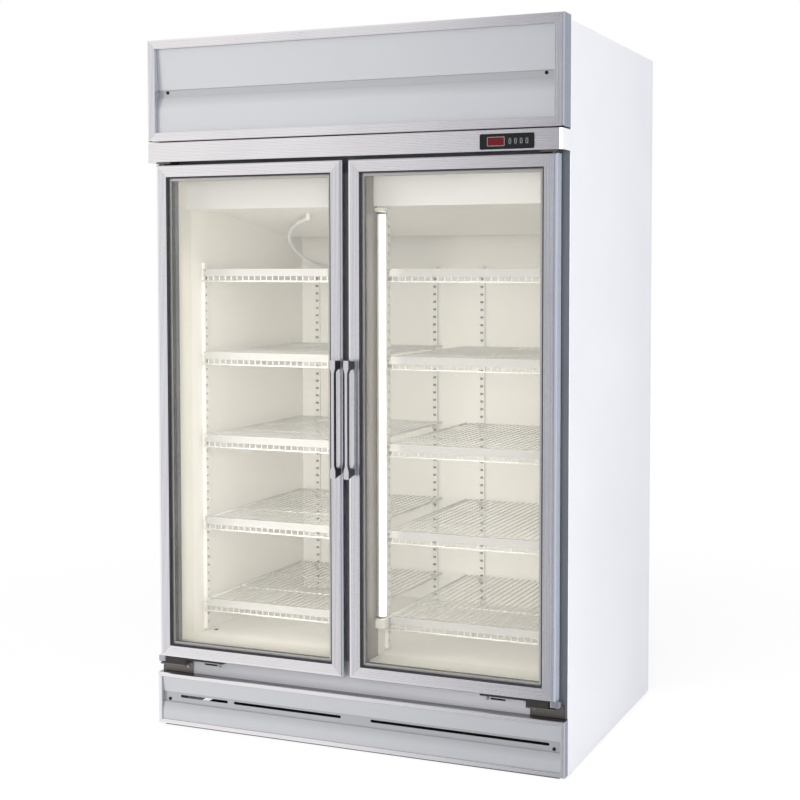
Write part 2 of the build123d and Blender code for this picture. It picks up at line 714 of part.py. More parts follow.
# Drain pan under the evaporator, falling to the back, with the hose spout
pan_back_z = COVER_BOTTOM - 3 - PAN_FALL
pan_path = (
    (COVER_Y + COVER_SHEET, COVER_BOTTOM),
    (PAN_FLAT_END, COVER_BOTTOM - 3),
    (PAN_END, pan_back_z),
    (PAN_END, pan_back_z + 16),
)
hose_route = [at(*point) for point in HOSE_POINTS]
exit_run = (hose_route[1] - hose_route[0]).normalized()
elbow = hose_route[0] - exit_run * SPOUT_LENGTH
pan_slope = PAN_FALL / (PAN_END - PAN_FLAT_END)
pan_over_elbow = COVER_BOTTOM - 3 - pan_slope * (elbow.Y - FRONT - PAN_FLAT_END)
pan_sheet = folded_sheet(pan_path, PAN_SHEET, (-INNER_HALF, INNER_HALF))
with BuildPart() as drain_pan:
    add(pan_sheet)
    pan_zs = (pan_back_z, CEILING_Z)
    cuboid((-mullion_face, mullion_face), (0, MULLION_DEPTH), pan_zs, mode=Mode.SUBTRACT)
    for side, _ in SIDES:
        jamb_xs = (side * OPENING_HALF, side * INNER_HALF)
        cuboid(jamb_xs, (0, STRIP_DEPTH), pan_zs, mode=Mode.SUBTRACT)
    with BuildSketch(Plane(origin=elbow)):
        Circle(SPOUT_R)
    extrude(amount=pan_over_elbow - elbow.Z + PAN_SHEET / 2)
    with Locations(elbow):
        Sphere(SPOUT_R)
    with BuildSketch(Plane(origin=elbow, z_dir=exit_run)):
        Circle(SPOUT_R)
    extrude(amount=SPOUT_LENGTH)
save(drain_pan.part, "drain_pan")

# Drain hose along straight runs and tangent arcs
hose_radii = []
for before, corner, after in zip(hose_route, hose_route[1:], hose_route[2:]):
    first = corner - before
    second = after - corner
    turn = radians(first.get_angle(second))
    hose_radii.append(0.45 * min(first.length, second.length) / tan(turn / 2))
with BuildPart() as drain_hose:
    with BuildLine() as hose_line:
        FilletPolyline(*hose_route, radius=hose_radii)
    with BuildSketch(Plane(origin=hose_route[0], z_dir=exit_run)):
        Circle(HOSE_R)
    sweep(path=hose_line.line)
save(drain_hose.part, "drain_hose")
hose_length = sum(piece.length for piece in hose_line.edges())
print("hose length", round(hose_length, 1), "radii", [round(r, 1) for r in hose_radii])
print("hose volume ratio", round(drain_hose.part.volume / (pi * HOSE_R**2 * hose_length), 4))

# Evaporator coil with its end plates, and the blower's motor and bearing plates
coil_half = INNER_HALF - COIL_END_GAP
coil_depth, coil_height = COIL
coil_pieces = []
with BuildPart() as fin_block:
    coil_depths = (COIL_Y, COIL_Y + coil_depth)
    cuboid((-coil_half, coil_half), coil_depths, (COIL_BOTTOM, COIL_BOTTOM + coil_height))
    with BuildSketch(Plane(origin=at(0, COIL_Y + coil_depth / 2, COIL_BOTTOM))):
        with GridLocations(30, 0, 31, 1):
            Rectangle(26, coil_depth)
    extrude(amount=coil_height - 8, mode=Mode.SUBTRACT)
coil_pieces.append(fin_block.part)
for side, _ in SIDES:
    plate_xs = (side * coil_half, side * (coil_half + 3))
    coil_pieces.append(block(plate_xs, coil_depths, (COIL_BOTTOM, CEILING_Z)))
blower_half = BLOWER_LENGTH / 2
bearing_x = blower_half + 12
shaft_bore = FAN_SHAFT_R + PIN_CLEARANCE
for side, _ in SIDES:
    with BuildPart() as bearing:
        plate_depths = (BLOWER_Y - 30, BLOWER_Y + 30)
        cuboid((side * bearing_x, side * (bearing_x + 4)), plate_depths, (BLOWER_Z - 30, CEILING_Z))
        bore_plane = Plane(origin=at(side * bearing_x, BLOWER_Y, BLOWER_Z), z_dir=(side, 0, 0))
        with BuildSketch(bore_plane):
            Circle(shaft_bore)
        extrude(amount=4, mode=Mode.SUBTRACT)
    coil_pieces.append(bearing.part)
with BuildPart() as blower_motor:
    with BuildSketch(Plane(origin=at(bearing_x + 4, BLOWER_Y, BLOWER_Z), z_dir=(1, 0, 0))):
        Circle(34)
        Circle(shaft_bore, mode=Mode.SUBTRACT)
    extrude(amount=60)
coil_pieces.append(blower_motor.part)
save(group(coil_pieces), "evaporator_coil")

# Crossflow blower rotor on its shaft
blower_blades = 18
with BuildPart() as blower_rotor:
    with BuildSketch(Plane(origin=at(-blower_half, BLOWER_Y, BLOWER_Z), z_dir=(1, 0, 0))):
        with PolarLocations(BLOWER_R - 6, blower_blades):
            Rectangle(12, 2)
    extrude(amount=BLOWER_LENGTH)
    for x in (-blower_half, -1.5, blower_half - 3):
        with BuildSketch(Plane(origin=at(x, BLOWER_Y, BLOWER_Z), z_dir=(1, 0, 0))):
            Circle(BLOWER_R)
        extrude(amount=3)
    shaft_half = bearing_x + 14
    with BuildSketch(Plane(origin=at(-shaft_half + 10, BLOWER_Y, BLOWER_Z), z_dir=(1, 0, 0))):
        Circle(FAN_SHAFT_R)
    extrude(amount=2 * shaft_half - 10)
save(blower_rotor.part, "blower_rotor")

# Lamps beside the mullion, with an end holder each way
lamp_tubes = []
lamp_holders = []
for side, _ in SIDES:
    with BuildPart() as tube:
        with BuildSketch(Plane(origin=at(side * LAMP_X, LAMP_Y, LAMP_SPAN[0]))):
            Circle(LAMP_R)
        extrude(amount=LAMP_SPAN[1] - LAMP_SPAN[0])
    lamp_tubes.append(tube.part)
    holder_xs = (side * mullion_face, side * (LAMP_X + HOLDER / 2 + 1))
    holder_depths = (LAMP_Y - HOLDER / 2, LAMP_Y + HOLDER / 2)
    holder_top = LAMP_SPAN[1] + 11
    lamp_holders.append(block(holder_xs, holder_depths, (LAMP_SPAN[0] - HOLDER, LAMP_SPAN[0])))
    lamp_holders.append(block(holder_xs, holder_depths, (LAMP_SPAN[1], holder_top)))
save(group(lamp_tubes), "lamp_tubes")
save(group(lamp_holders), "lamp_holders")

# Canopy: a mitred fluted frame round three folded panels
canopy_zs = (CANOPY_BOTTOM, CANOPY_TOP)
canopy_frame = group(mitred_frame(canopy_rail, (-HALF, HALF), canopy_zs, -CANOPY_DEPTH))
save(canopy_frame, "canopy_frame")


def panel_paths(frame_depth, panel, channel_zs, ends, slope):
    """Paths of an upper sheet, a recessed channel and a lower sheet, top to bottom."""
    shallow, deep = (inset - frame_depth for inset in panel)
    low, high = channel_zs
    bottom, top = ends
    seat = deep + PANEL_SHEET + 0.15
    back = deep + CHANNEL_STEP
    upper = ((shallow, top), (deep, high))
    middle = ((seat, high), (back, high), (back, low), (seat, low))
    lower = ((deep, low), (shallow, low - slope), (shallow, bottom))
    return upper, middle, lower


canopy_edge = CANOPY_FACE + PANEL_FIT
canopy_xs = (-HALF + canopy_edge, HALF - canopy_edge)
canopy_ends = (CANOPY_BOTTOM + canopy_edge, CANOPY_TOP - canopy_edge)
canopy_paths = panel_paths(CANOPY_DEPTH, CANOPY_PANEL, CANOPY_CHANNEL, canopy_ends, CANOPY_SLOPE)
canopy_panels = group([folded_sheet(path, PANEL_SHEET, canopy_xs) for path in canopy_paths])
save(canopy_panels, "canopy_panels")

# Header rail, a hollow fluted extrusion between the side panels' ears
header_wall = 2.5
controller_z = (HEADER_BOTTOM + HEADER_TOP) / 2 - 3
controller_body = (CONTROLLER[0] - 16, CONTROLLER[1] - 10)
header_half = HALF - EAR_RETURN - 0.2
with BuildPart() as header_rail:
    header_plane = Plane(
        origin=at(-header_half, -HEADER_DEPTH, HEADER_BOTTOM), x_dir=(0, 1, 0), z_dir=(1, 0, 0)
    )
    with BuildSketch(header_plane):
        flutes = [(depth, rise) for rise, depth in fluted_run(0, HEADER_HEIGHT)]
        Polygon(*flutes, (HEADER_DEPTH, HEADER_HEIGHT), (HEADER_DEPTH, 0))
        hollow = (HEADER_DEPTH - 2 * header_wall - FLUTE_DEPTH, HEADER_HEIGHT - 2 * header_wall)
        with Locations(((HEADER_DEPTH + FLUTE_DEPTH) / 2, HEADER_HEIGHT / 2)):
            Rectangle(*hollow, mode=Mode.SUBTRACT)
    extrude(amount=2 * header_half)
    cutout = Plane(
        origin=at(CONTROLLER_X, -HEADER_DEPTH, controller_z), x_dir=(1, 0, 0), z_dir=(0, 1, 0)
    )
    with BuildSketch(cutout):
        Rectangle(controller_body[0] + 0.4, controller_body[1] + 0.4)
    extrude(amount=HEADER_DEPTH / 2, mode=Mode.SUBTRACT)
save(header_rail.part, "header_rail")

# Controller: a bezel in front of the header, and its body inside, with wells for four keys
bezel_front = -HEADER_DEPTH - CONTROLLER_PROUD
key_well = CONTROLLER_PROUD + 6
with BuildPart() as controller_housing:
    bezel_plane = Plane(
        origin=at(CONTROLLER_X, -HEADER_DEPTH, controller_z), x_dir=(1, 0, 0), z_dir=(0, -1, 0)
    )
    with BuildSketch(bezel_plane):
        RectangleRounded(*CONTROLLER, 4)
    extrude(amount=CONTROLLER_PROUD)
    with BuildSketch(bezel_plane):
        Rectangle(*controller_body)
    extrude(amount=-40)
    for x in KEY_XS:
        well = Plane(origin=at(x, bezel_front, controller_z), x_dir=(1, 0, 0), z_dir=(0, 1, 0))
        with BuildSketch(well):
            RectangleRounded(KEY_SIZE[0] + 2 * KEY_CLEARANCE, KEY_SIZE[1] + 2 * KEY_CLEARANCE, 1.5)
        extrude(amount=key_well, mode=Mode.SUBTRACT)
save(controller_housing.part, "controller_housing")

for number, x in enumerate(KEY_XS, start=1):
    with BuildPart() as key:
        key_front = bezel_front - KEY_TRAVEL - 0.2
        key_plane = Plane(origin=at(x, key_front, controller_z), x_dir=(1, 0, 0), z_dir=(0, 1, 0))
        with BuildSketch(key_plane):
            RectangleRounded(*KEY_SIZE, 1.2)
        extrude(amount=key_well - KEY_CLEARANCE)
    save(key.part, f"controller_key_{number}")

# Kick plate: a narrow rounded frame round folded panels, with air slots in the channel
kick_frame = group(mitred_frame(kick_rail, (-HALF, HALF), (FLOOR_GAP, KICK_TOP), -KICK_DEPTH))
save(kick_frame, "kick_frame")
kick_edge = KICK_FACE + PANEL_FIT
kick_xs = (-HALF + kick_edge, HALF - kick_edge)
kick_ends = (FLOOR_GAP + kick_edge, KICK_TOP - kick_edge)
kick_paths = panel_paths(KICK_DEPTH, KICK_PANEL, KICK_CHANNEL, kick_ends, KICK_SLOPE)
kick_upper, kick_middle, kick_lower = [folded_sheet(path, PANEL_SHEET, kick_xs) for path in kick_paths]
with BuildPart() as slotted_channel:
    add(kick_middle)
    for start, end in KICK_SLOTS:
        slot_middle = at((start + end) / 2, -KICK_DEPTH, KICK_CHANNEL[1] - KICK_SLOT_DROP)
        with BuildSketch(Plane(origin=slot_middle, x_dir=(1, 0, 0), z_dir=(0, 1, 0))):
            SlotOverall(end - start, KICK_SLOT_HEIGHT)
        extrude(amount=KICK_DEPTH, mode=Mode.SUBTRACT)
kick_panels = group([kick_upper, slotted_channel.part, kick_lower])
save(kick_panels, "kick_panels")

# Hinge brackets: a lower plate on an upright back, and an upper plate, on each side
bracket_front = PIVOT_Y - 16
box_start = PIVOT_X - SPRING_BOX_GAP
box_end = box_start - SPRING_BOX_LENGTH
plate_zs = (HINGE_PLATE_Z, HINGE_PLATE_Z + HINGE_PLATE)
back_end = HALF - HINGE_BACK
top_plate_zs = (DOOR_TOP + TOP_PLATE_GAP, DOOR_TOP + TOP_PLATE_GAP + TOP_PLATE)
bracket_pieces = []
for side, _ in SIDES:
    with BuildPart() as lower_bracket:
        cuboid((side * box_end, side * DOOR_OUTER), (bracket_front, 0), plate_zs)
        cuboid((side * back_end, side * (HALF - 9)), (-4, 0), (KICK_TOP + 1, plate_zs[1]))
        cuboid((side * back_end, side * (back_end + 34)), (-4, 0), (plate_zs[0], DOOR_BOTTOM - 7))
        with BuildSketch(Plane(origin=at(side * PIVOT_X, PIVOT_Y, plate_zs[0]))):
            Circle(PIN_R + PIN_CLEARANCE)
        extrude(amount=HINGE_PLATE, mode=Mode.SUBTRACT)
    with BuildPart() as upper_bracket:
        upper_xs = (side * (PIVOT_X - 34), side * DOOR_OUTER)
        cuboid(upper_xs, (bracket_front, 0), top_plate_zs)
        with BuildSketch(Plane(origin=at(side * PIVOT_X, PIVOT_Y, top_plate_zs[0]))):
            Circle(TOP_PIN_R + PIN_CLEARANCE)
        extrude(amount=TOP_PLATE, mode=Mode.SUBTRACT)
    bracket_pieces += [lower_bracket.part, upper_bracket.part]
save(group(bracket_pieces), "hinge_brackets")

# Dome-headed screws: canopy and kick channels, lower hinge brackets, and the sill slots
screw_r = 5.0
with BuildPart() as screw:
    with BuildSketch(Plane.XZ):
        Circle(screw_r)
    extrude(amount=2.6)
    fillet(screw.edges().group_by(Axis.Y)[0], 1.6)
    with BuildSketch(Plane.XZ.offset(1.4)):
        Rectangle(6.4, 1.4)
        Rectangle(1.4, 6.4)
    extrude(amount=1.4, mode=Mode.SUBTRACT)
canopy_screw_y = CANOPY_PANEL[1] + CHANNEL_STEP - CANOPY_DEPTH
kick_screw_y = KICK_PANEL[1] + CHANNEL_STEP - KICK_DEPTH
screw_places = []
for (side, _), slot_inset in zip(SIDES, SILL_SLOT_INSETS):
    screw_places += [
        at(side * (HALF - 55), canopy_screw_y, CANOPY_CHANNEL[1] - 7),
        at(side * (HALF - 33), kick_screw_y, KICK_CHANNEL[0] + 8),
        at(side * (back_end + 14), -4, plate_zs[0] - 12.5),
        at(side * (back_end + 14), -4, plate_zs[1] + 5.5),
        at(side * (HALF - slot_inset - SILL_SCREW_GAP), 0, SILL_SLOT_Z),
    ]
screws = [screw.part.moved(Location(place)) for place in screw_places]
save(group(screws), "panel_screws")


def door(side, word):
    """Every piece of one door, hinged at its outer edge."""
    xs = tuple(sorted((side * DOOR_INNER, side * DOOR_OUTER)))
    zs = (DOOR_BOTTOM, DOOR_TOP)
    front = -DOOR_STAND_OFF
    save(group(mitred_frame(door_rail.sketch, xs, zs, front)), f"door_{word}_frame")

    glass_xs = (xs[0] + GLASS_EDGE_U, xs[1] - GLASS_EDGE_U)
    glass_zs = (zs[0] + GLASS_EDGE_U, zs[1] - GLASS_EDGE_U)
    pane_front = front + LIP + SEAL
    pane_back = pane_front + PANE + PANE_GAP
    panes = [
        block(glass_xs, (pane_front, pane_front + PANE), glass_zs),
        block(glass_xs, (pane_back, pane_back + PANE), glass_zs),
    ]
    save(group(panes), f"door_{word}_glass")
    save(group(mitred_frame(spacer_bar.sketch, xs, zs, front)), f"door_{word}_spacer")
    seals = []
    for profile in (front_seal, rear_seal, gasket_strip):
        seals += mitred_frame(profile.sketch, xs, zs, front)
    save(group(seals), f"door_{word}_gasket")

    # D handle on the inner stile: its side outline, then a waist cut into each cheek
    handle_x = side * (DOOR_INNER + HANDLE_INSET)
    middle = at(handle_x, front, HANDLE_BOTTOM + HANDLE_LENGTH / 2)
    half_length = HANDLE_LENGTH / 2
    finger_depth = HANDLE_REACH - HANDLE_BAR_DEPTH
    finger_length = HANDLE_LENGTH - 2 * HANDLE_END
    top_slant, bottom_slant = HANDLE_SLANTS
    edge = HANDLE_WIDTH / 2
    near = HANDLE_BAR_WIDTH / 2
    ramp_half = half_length - HANDLE_SHOULDER
    waist_half = ramp_half - HANDLE_RAMP
    with BuildPart() as handle:
        with BuildSketch(Plane(origin=middle, x_dir=(0, -1, 0), z_dir=(-1, 0, 0))):
            Polygon(
                (0, half_length - top_slant),
                (0, bottom_slant - half_length),
                (HANDLE_REACH, -half_length),
                (HANDLE_REACH, half_length),
            )
            with Locations(((finger_depth - HANDLE_CORNER) / 2, 0)):
                finger_size = (finger_depth + HANDLE_CORNER, finger_length)
                RectangleRounded(*finger_size, HANDLE_CORNER * 0.7, mode=Mode.SUBTRACT)
        extrude(amount=edge, both=True)
        with BuildSketch(Plane(origin=middle, x_dir=(1, 0, 0), z_dir=(0, -1, 0))):
            Polygon(
                (2 * edge, -ramp_half),
                (2 * edge, ramp_half),
                (edge, ramp_half),
                (near, waist_half),
                (near, -waist_half),
                (edge, -ramp_half),
            )
            mirror(about=Plane.YZ)
        extrude(amount=HANDLE_REACH + 1, mode=Mode.SUBTRACT)
    save(handle.part, f"door_{word}_handle")

    # Pivots: a block and pin below, a pin above, and the closer's housing and strip
    block_top = DOOR_BOTTOM - 0.1
    with BuildPart() as lower_pivot:
        block_bottom = plate_zs[1] + 1.0
        block_x = side * (PIVOT_X + PIVOT_BLOCK_SHIFT)
        with BuildSketch(Plane(origin=at(block_x, PIVOT_Y, block_bottom))):
            RectangleRounded(PIVOT_BLOCK, PIVOT_BLOCK, 6)
        extrude(amount=block_top - block_bottom)
        chamfer(lower_pivot.edges().group_by(Axis.Z)[0], 2)
        with BuildSketch(Plane(origin=at(side * PIVOT_X, PIVOT_Y, plate_zs[0] - 2))):
            Circle(PIN_R)
        extrude(amount=block_bottom - plate_zs[0] + 3)
    with BuildPart() as upper_pivot:
        with BuildSketch(Plane(origin=at(side * PIVOT_X, PIVOT_Y, DOOR_TOP))):
            Circle(TOP_PIN_R)
        extrude(amount=TOP_PLATE_GAP + TOP_PLATE)
    housing_depths = (bracket_front + 0.5, PIVOT_Y + 16)
    housing_zs = (plate_zs[1] + 1.0, block_top)
    housing = block((side * (box_start + 0.4), side * box_end), housing_depths, housing_zs)
    closer_xs = (side * (box_end - 0.3), side * (box_end - CLOSER_LENGTH))
    closer = block(closer_xs, (bracket_front + 0.5, PIVOT_Y), (DOOR_BOTTOM - 4.5, block_top))
    pieces = [lower_pivot.part, upper_pivot.part, housing, closer]
    save(group(pieces), f"door_{word}_pivots")


for side, word in SIDES:
    door(side, word)


def square_tube(xs, depths, zs, hollow_xs, hollow_depths, hollow_zs):
    """A length of square tube, from its outer spans and those of its bore."""
    with BuildPart() as piece:
        cuboid(xs, depths, zs)
        cuboid(hollow_xs, hollow_depths, hollow_zs, mode=Mode.SUBTRACT)
    return piece.part


def within(span):
    """A tube's span without its two walls."""
    return (min(span) + TUBE_WALL, max(span) - TUBE_WALL)


# Base frame of square tube, with a post at each corner
tube_half = INSIDE_SKIN - 6
rail_zs = (BASE_Z - TUBE, BASE_Z)
base_depths = (FRAME_RETURN, foam_back - 8)
inner_depths = (base_depths[0] + TUBE, base_depths[1] - TUBE)
across = (-tube_half, tube_half)
base_pieces = []
for span in ((base_depths[0], inner_depths[0]), (inner_depths[1], base_depths[1])):
    base_pieces.append(square_tube(across, span, rail_zs, across, within(span), within(rail_zs)))
feet = []
for side, _ in SIDES:
    tube_xs = (side * (tube_half - TUBE), side * tube_half)
    rail_bore = (within(tube_xs), inner_depths, within(rail_zs))
    base_pieces.append(square_tube(tube_xs, inner_depths, rail_zs, *rail_bore))
    for post_start in (base_depths[0], inner_depths[1]):
        post_depths = (post_start, post_start + TUBE)
        post_zs = (POST_BOTTOM, BASE_Z - TUBE)
        post_bore = (within(tube_xs), within(post_depths), (POST_BOTTOM + POST_PLATE, BASE_Z - TUBE))
        base_pieces.append(square_tube(tube_xs, post_depths, post_zs, *post_bore))
        foot_at = at(side * (tube_half - TUBE / 2), post_start + TUBE / 2, 0)
        with BuildPart() as foot:
            with BuildSketch(Plane(origin=foot_at)):
                Circle(FOOT_R)
            extrude(amount=FOOT_PAD)
            with BuildSketch(Plane(origin=foot_at + Vector(0, 0, FOOT_PAD))):
                RegularPolygon(FOOT_STEM_R + 3, 6)
            extrude(amount=10)
            with BuildSketch(Plane(origin=foot_at + Vector(0, 0, FOOT_PAD + 10))):
                Circle(FOOT_STEM_R)
            extrude(amount=POST_BOTTOM - FOOT_PAD - 10)
        feet.append(foot.part)
save(group(base_pieces), "base_frame")
save(group(feet), "levelling_feet")

# Condenser: a finned block, its fan shroud, and the motor on a cross bracket
cond_width, cond_depth, cond_height = CONDENSER
cond_bottom = DECK_TOP
shroud_y = CONDENSER_Y + cond_depth
fan_z = cond_bottom + cond_height / 2
fin_pitch = 12.0
fin_gap = 8.0
with BuildPart() as condenser_block:
    with BuildSketch(Plane(origin=at(CONDENSER_X, CONDENSER_Y + cond_depth / 2, cond_bottom))):
        Rectangle(cond_width, cond_depth)
        for row in (-1, 1):
            with Locations((0, row * (cond_depth / 4 + 2))):
                with GridLocations(fin_pitch, 0, int(cond_width // fin_pitch) - 1, 1):
                    Rectangle(fin_gap, cond_depth / 2 - 4, mode=Mode.SUBTRACT)
    extrude(amount=cond_height)
with BuildPart() as shroud:
    shroud_plane = Plane(origin=at(CONDENSER_X, shroud_y, fan_z), x_dir=(1, 0, 0), z_dir=(0, 1, 0))
    with BuildSketch(shroud_plane):
        Rectangle(cond_width, cond_height)
        Circle(FAN_R + 6, mode=Mode.SUBTRACT)
    extrude(amount=2)
    with BuildSketch(shroud_plane):
        Circle(FAN_R + 8)
        Circle(FAN_R + 6, mode=Mode.SUBTRACT)
    extrude(amount=30)
motor_y = shroud_y + 50
with BuildPart() as motor:
    motor_plane = Plane(origin=at(CONDENSER_X, motor_y, fan_z), x_dir=(1, 0, 0), z_dir=(0, 1, 0))
    with BuildSketch(motor_plane):
        Circle(36)
        Circle(FAN_SHAFT_R + PIN_CLEARANCE, mode=Mode.SUBTRACT)
    extrude(amount=60)
    stand_xs = (CONDENSER_X - 20, CONDENSER_X + 20)
    cuboid(stand_xs, (motor_y + 10, motor_y + 50), (cond_bottom, fan_z - 30))
condenser = group([condenser_block.part, shroud.part, motor.part])
save(condenser, "condenser")

# Condenser fan: a hub with pitched blades on its shaft
fan_blades = 5
with BuildPart() as condenser_fan:
    hub_y = shroud_y + 12
    hub_plane = Plane(origin=at(CONDENSER_X, hub_y, fan_z), x_dir=(1, 0, 0), z_dir=(0, 1, 0))
    with BuildSketch(hub_plane):
        Circle(FAN_HUB_R)
    extrude(amount=22)
    blade_length = FAN_R - FAN_HUB_R + 6
    with Locations(hub_plane.offset(11)):
        with PolarLocations(FAN_HUB_R - 6 + blade_length / 2, fan_blades):
            Box(blade_length, 52, 2.5, rotation=(28, 0, 0))
    with BuildSketch(hub_plane.offset(22)):
        Circle(FAN_SHAFT_R)
    extrude(amount=motor_y - hub_y - 22 + 20)
save(condenser_fan.part, "condenser_fan")

# Compressor: a domed shell on a foot plate, with rubber grommets and a terminal box
foot_z = DECK_TOP + GROMMET[1]
shell_bottom = foot_z + 4
with BuildPart() as compressor_shell:
    foot_middle = at(COMPRESSOR_X, COMPRESSOR_Y, foot_z)
    with BuildSketch(Plane(origin=foot_middle)):
        RectangleRounded(2.5 * COMPRESSOR_R, 1.9 * COMPRESSOR_R, 18)
    extrude(amount=4)
    shell_plane = Plane(origin=at(COMPRESSOR_X, COMPRESSOR_Y, shell_bottom))
    with BuildSketch(shell_plane):
        Circle(COMPRESSOR_R)
    extrude(amount=COMPRESSOR_HEIGHT)
    fillet(compressor_shell.edges().group_by(Axis.Z)[-1], 0.5 * COMPRESSOR_R)
    box_xs = (COMPRESSOR_X + COMPRESSOR_R - 6, COMPRESSOR_X + COMPRESSOR_R + 34)
    box_depths = (COMPRESSOR_Y - 34, COMPRESSOR_Y + 34)
    cuboid(box_xs, box_depths, (shell_bottom + 30, shell_bottom + 100))
    seam = COMPRESSOR_HEIGHT * 0.55
    with BuildSketch(shell_plane.offset(seam)):
        Circle(COMPRESSOR_R + 5)
    extrude(amount=7)
grommet_r, grommet_height = GROMMET
with BuildPart() as grommets:
    with BuildSketch(Plane(origin=at(COMPRESSOR_X, COMPRESSOR_Y, DECK_TOP))):
        with GridLocations(2.1 * COMPRESSOR_R, 1.5 * COMPRESSOR_R, 2, 2):
            Circle(grommet_r)
    extrude(amount=grommet_height)
save(group([compressor_shell.part, *grommets.part.solids()]), "compressor")
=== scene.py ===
import math

import bmesh
import bpy
from mathutils import Matrix, Vector


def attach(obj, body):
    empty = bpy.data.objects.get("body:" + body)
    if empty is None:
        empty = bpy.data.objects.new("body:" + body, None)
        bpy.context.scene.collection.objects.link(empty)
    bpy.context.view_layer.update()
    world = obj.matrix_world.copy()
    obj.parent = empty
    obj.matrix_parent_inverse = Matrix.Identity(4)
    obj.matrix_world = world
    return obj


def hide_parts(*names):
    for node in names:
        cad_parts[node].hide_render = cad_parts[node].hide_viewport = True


# A two-door glass display fridge in a white studio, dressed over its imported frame.
# Metres, +Z up, doors towards -Y. What goes through at() or depth_plane() is in millimetres, and
# its depth is measured back from the front frame's face, as it is on the solids.

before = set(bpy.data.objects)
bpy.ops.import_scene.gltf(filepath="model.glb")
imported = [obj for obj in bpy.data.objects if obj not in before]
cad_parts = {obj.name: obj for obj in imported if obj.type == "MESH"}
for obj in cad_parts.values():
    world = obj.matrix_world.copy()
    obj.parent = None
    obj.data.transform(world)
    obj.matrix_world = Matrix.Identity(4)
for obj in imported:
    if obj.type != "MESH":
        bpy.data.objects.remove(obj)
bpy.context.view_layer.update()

FRONT = -394.5
SIDES = ((-1, "left"), (1, "right"))


def at(x, depth, z):
    """A point in metres, from x, depth behind the front frame and height in millimetres."""
    return Vector((x, FRONT + depth, z)) / 1000


def depth_plane(depth):
    """The y in metres of a depth behind the front frame's face in millimetres."""
    return (FRONT + depth) / 1000


def link(obj):
    """Puts an object into the scene."""
    bpy.context.scene.collection.objects.link(obj)
    return obj


# Camera at the photograph's viewing angle. AXIS_PX is the pixel that it points at.
IMAGE_PX = 800
SENSOR_MM = 36.0
FOCAL_PX = 1497.3
AXIS_PX = (400.0, 342.0)
CAMERA_PLACE = (1772.4, -3773.1, 1362.8)
YAW, PITCH, ROLL = -0.4076, math.radians(2.949), math.radians(-0.064)


def camera_turn():
    """The camera's axes, turned by the yaw, dipped by the pitch and then rolled."""
    level_right = Vector((math.cos(YAW), -math.sin(YAW), 0))
    level_ahead = Vector((math.sin(YAW), math.cos(YAW), 0))
    ahead = level_ahead * math.cos(PITCH) - Vector((0, 0, math.sin(PITCH)))
    upright = level_ahead * math.sin(PITCH) + Vector((0, 0, math.cos(PITCH)))
    right = level_right * math.cos(ROLL) + upright * math.sin(ROLL)
    above = upright * math.cos(ROLL) - level_right * math.sin(ROLL)
    return Matrix((right, above, -ahead)).transposed().to_4x4()


camera_data = bpy.data.cameras.new("camera")
camera_data.sensor_width = SENSOR_MM
camera_data.lens = FOCAL_PX / IMAGE_PX * SENSOR_MM
camera_data.shift_x = (IMAGE_PX / 2 - AXIS_PX[0]) / IMAGE_PX
camera_data.shift_y = (AXIS_PX[1] - IMAGE_PX / 2) / IMAGE_PX
camera_data.clip_start = 0.05
camera_data.clip_end = 100.0
camera = link(bpy.data.objects.new("camera", camera_data))
camera.matrix_world = Matrix.Translation(at(*CAMERA_PLACE)) @ camera_turn()
bpy.context.scene.camera = camera

# Drain hose, from the pan's elbow to the back wall
HOSE_RADIUS = 0.0065
HOSE_POINTS = [
    (-302.0, 315.0, 1504.0),
    (-339.0, 352.0, 1499.0),
    (-383.0, 398.0, 1487.5),
    (-430.0, 455.0, 1472.0),
    (-470.0, 520.0, 1451.5),
    (-496.0, 585.0, 1428.5),
    (-505.5, 640.0, 1408.5),
    (-507.0, 690.0, 1388.5),
    (-500.0, 736.0, 1370.0),
    (-486.0, 772.0, 1359.0),
    (-476.0, 800.0, 1354.5),
    (-476.0, 823.0, 1354.5),
]
hose_curve = bpy.data.curves.new("drain_hose_line", "CURVE")
hose_curve.dimensions = "3D"
hose_line = hose_curve.splines.new("NURBS")
hose_line.points.add(len(HOSE_POINTS) - 1)
for point, place in zip(hose_line.points, HOSE_POINTS):
    point.co = (*at(*place), 1.0)
hose_line.order_u = 3
hose_line.use_endpoint_u = True
hose_line.resolution_u = 10
hose_curve.bevel_depth = HOSE_RADIUS
hose_curve.bevel_resolution = 5
hose_curve.use_fill_caps = True
hose = link(bpy.data.objects.new("drain_hose_tube", hose_curve))
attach(hose, "cabinet")
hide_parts("drain_hose")


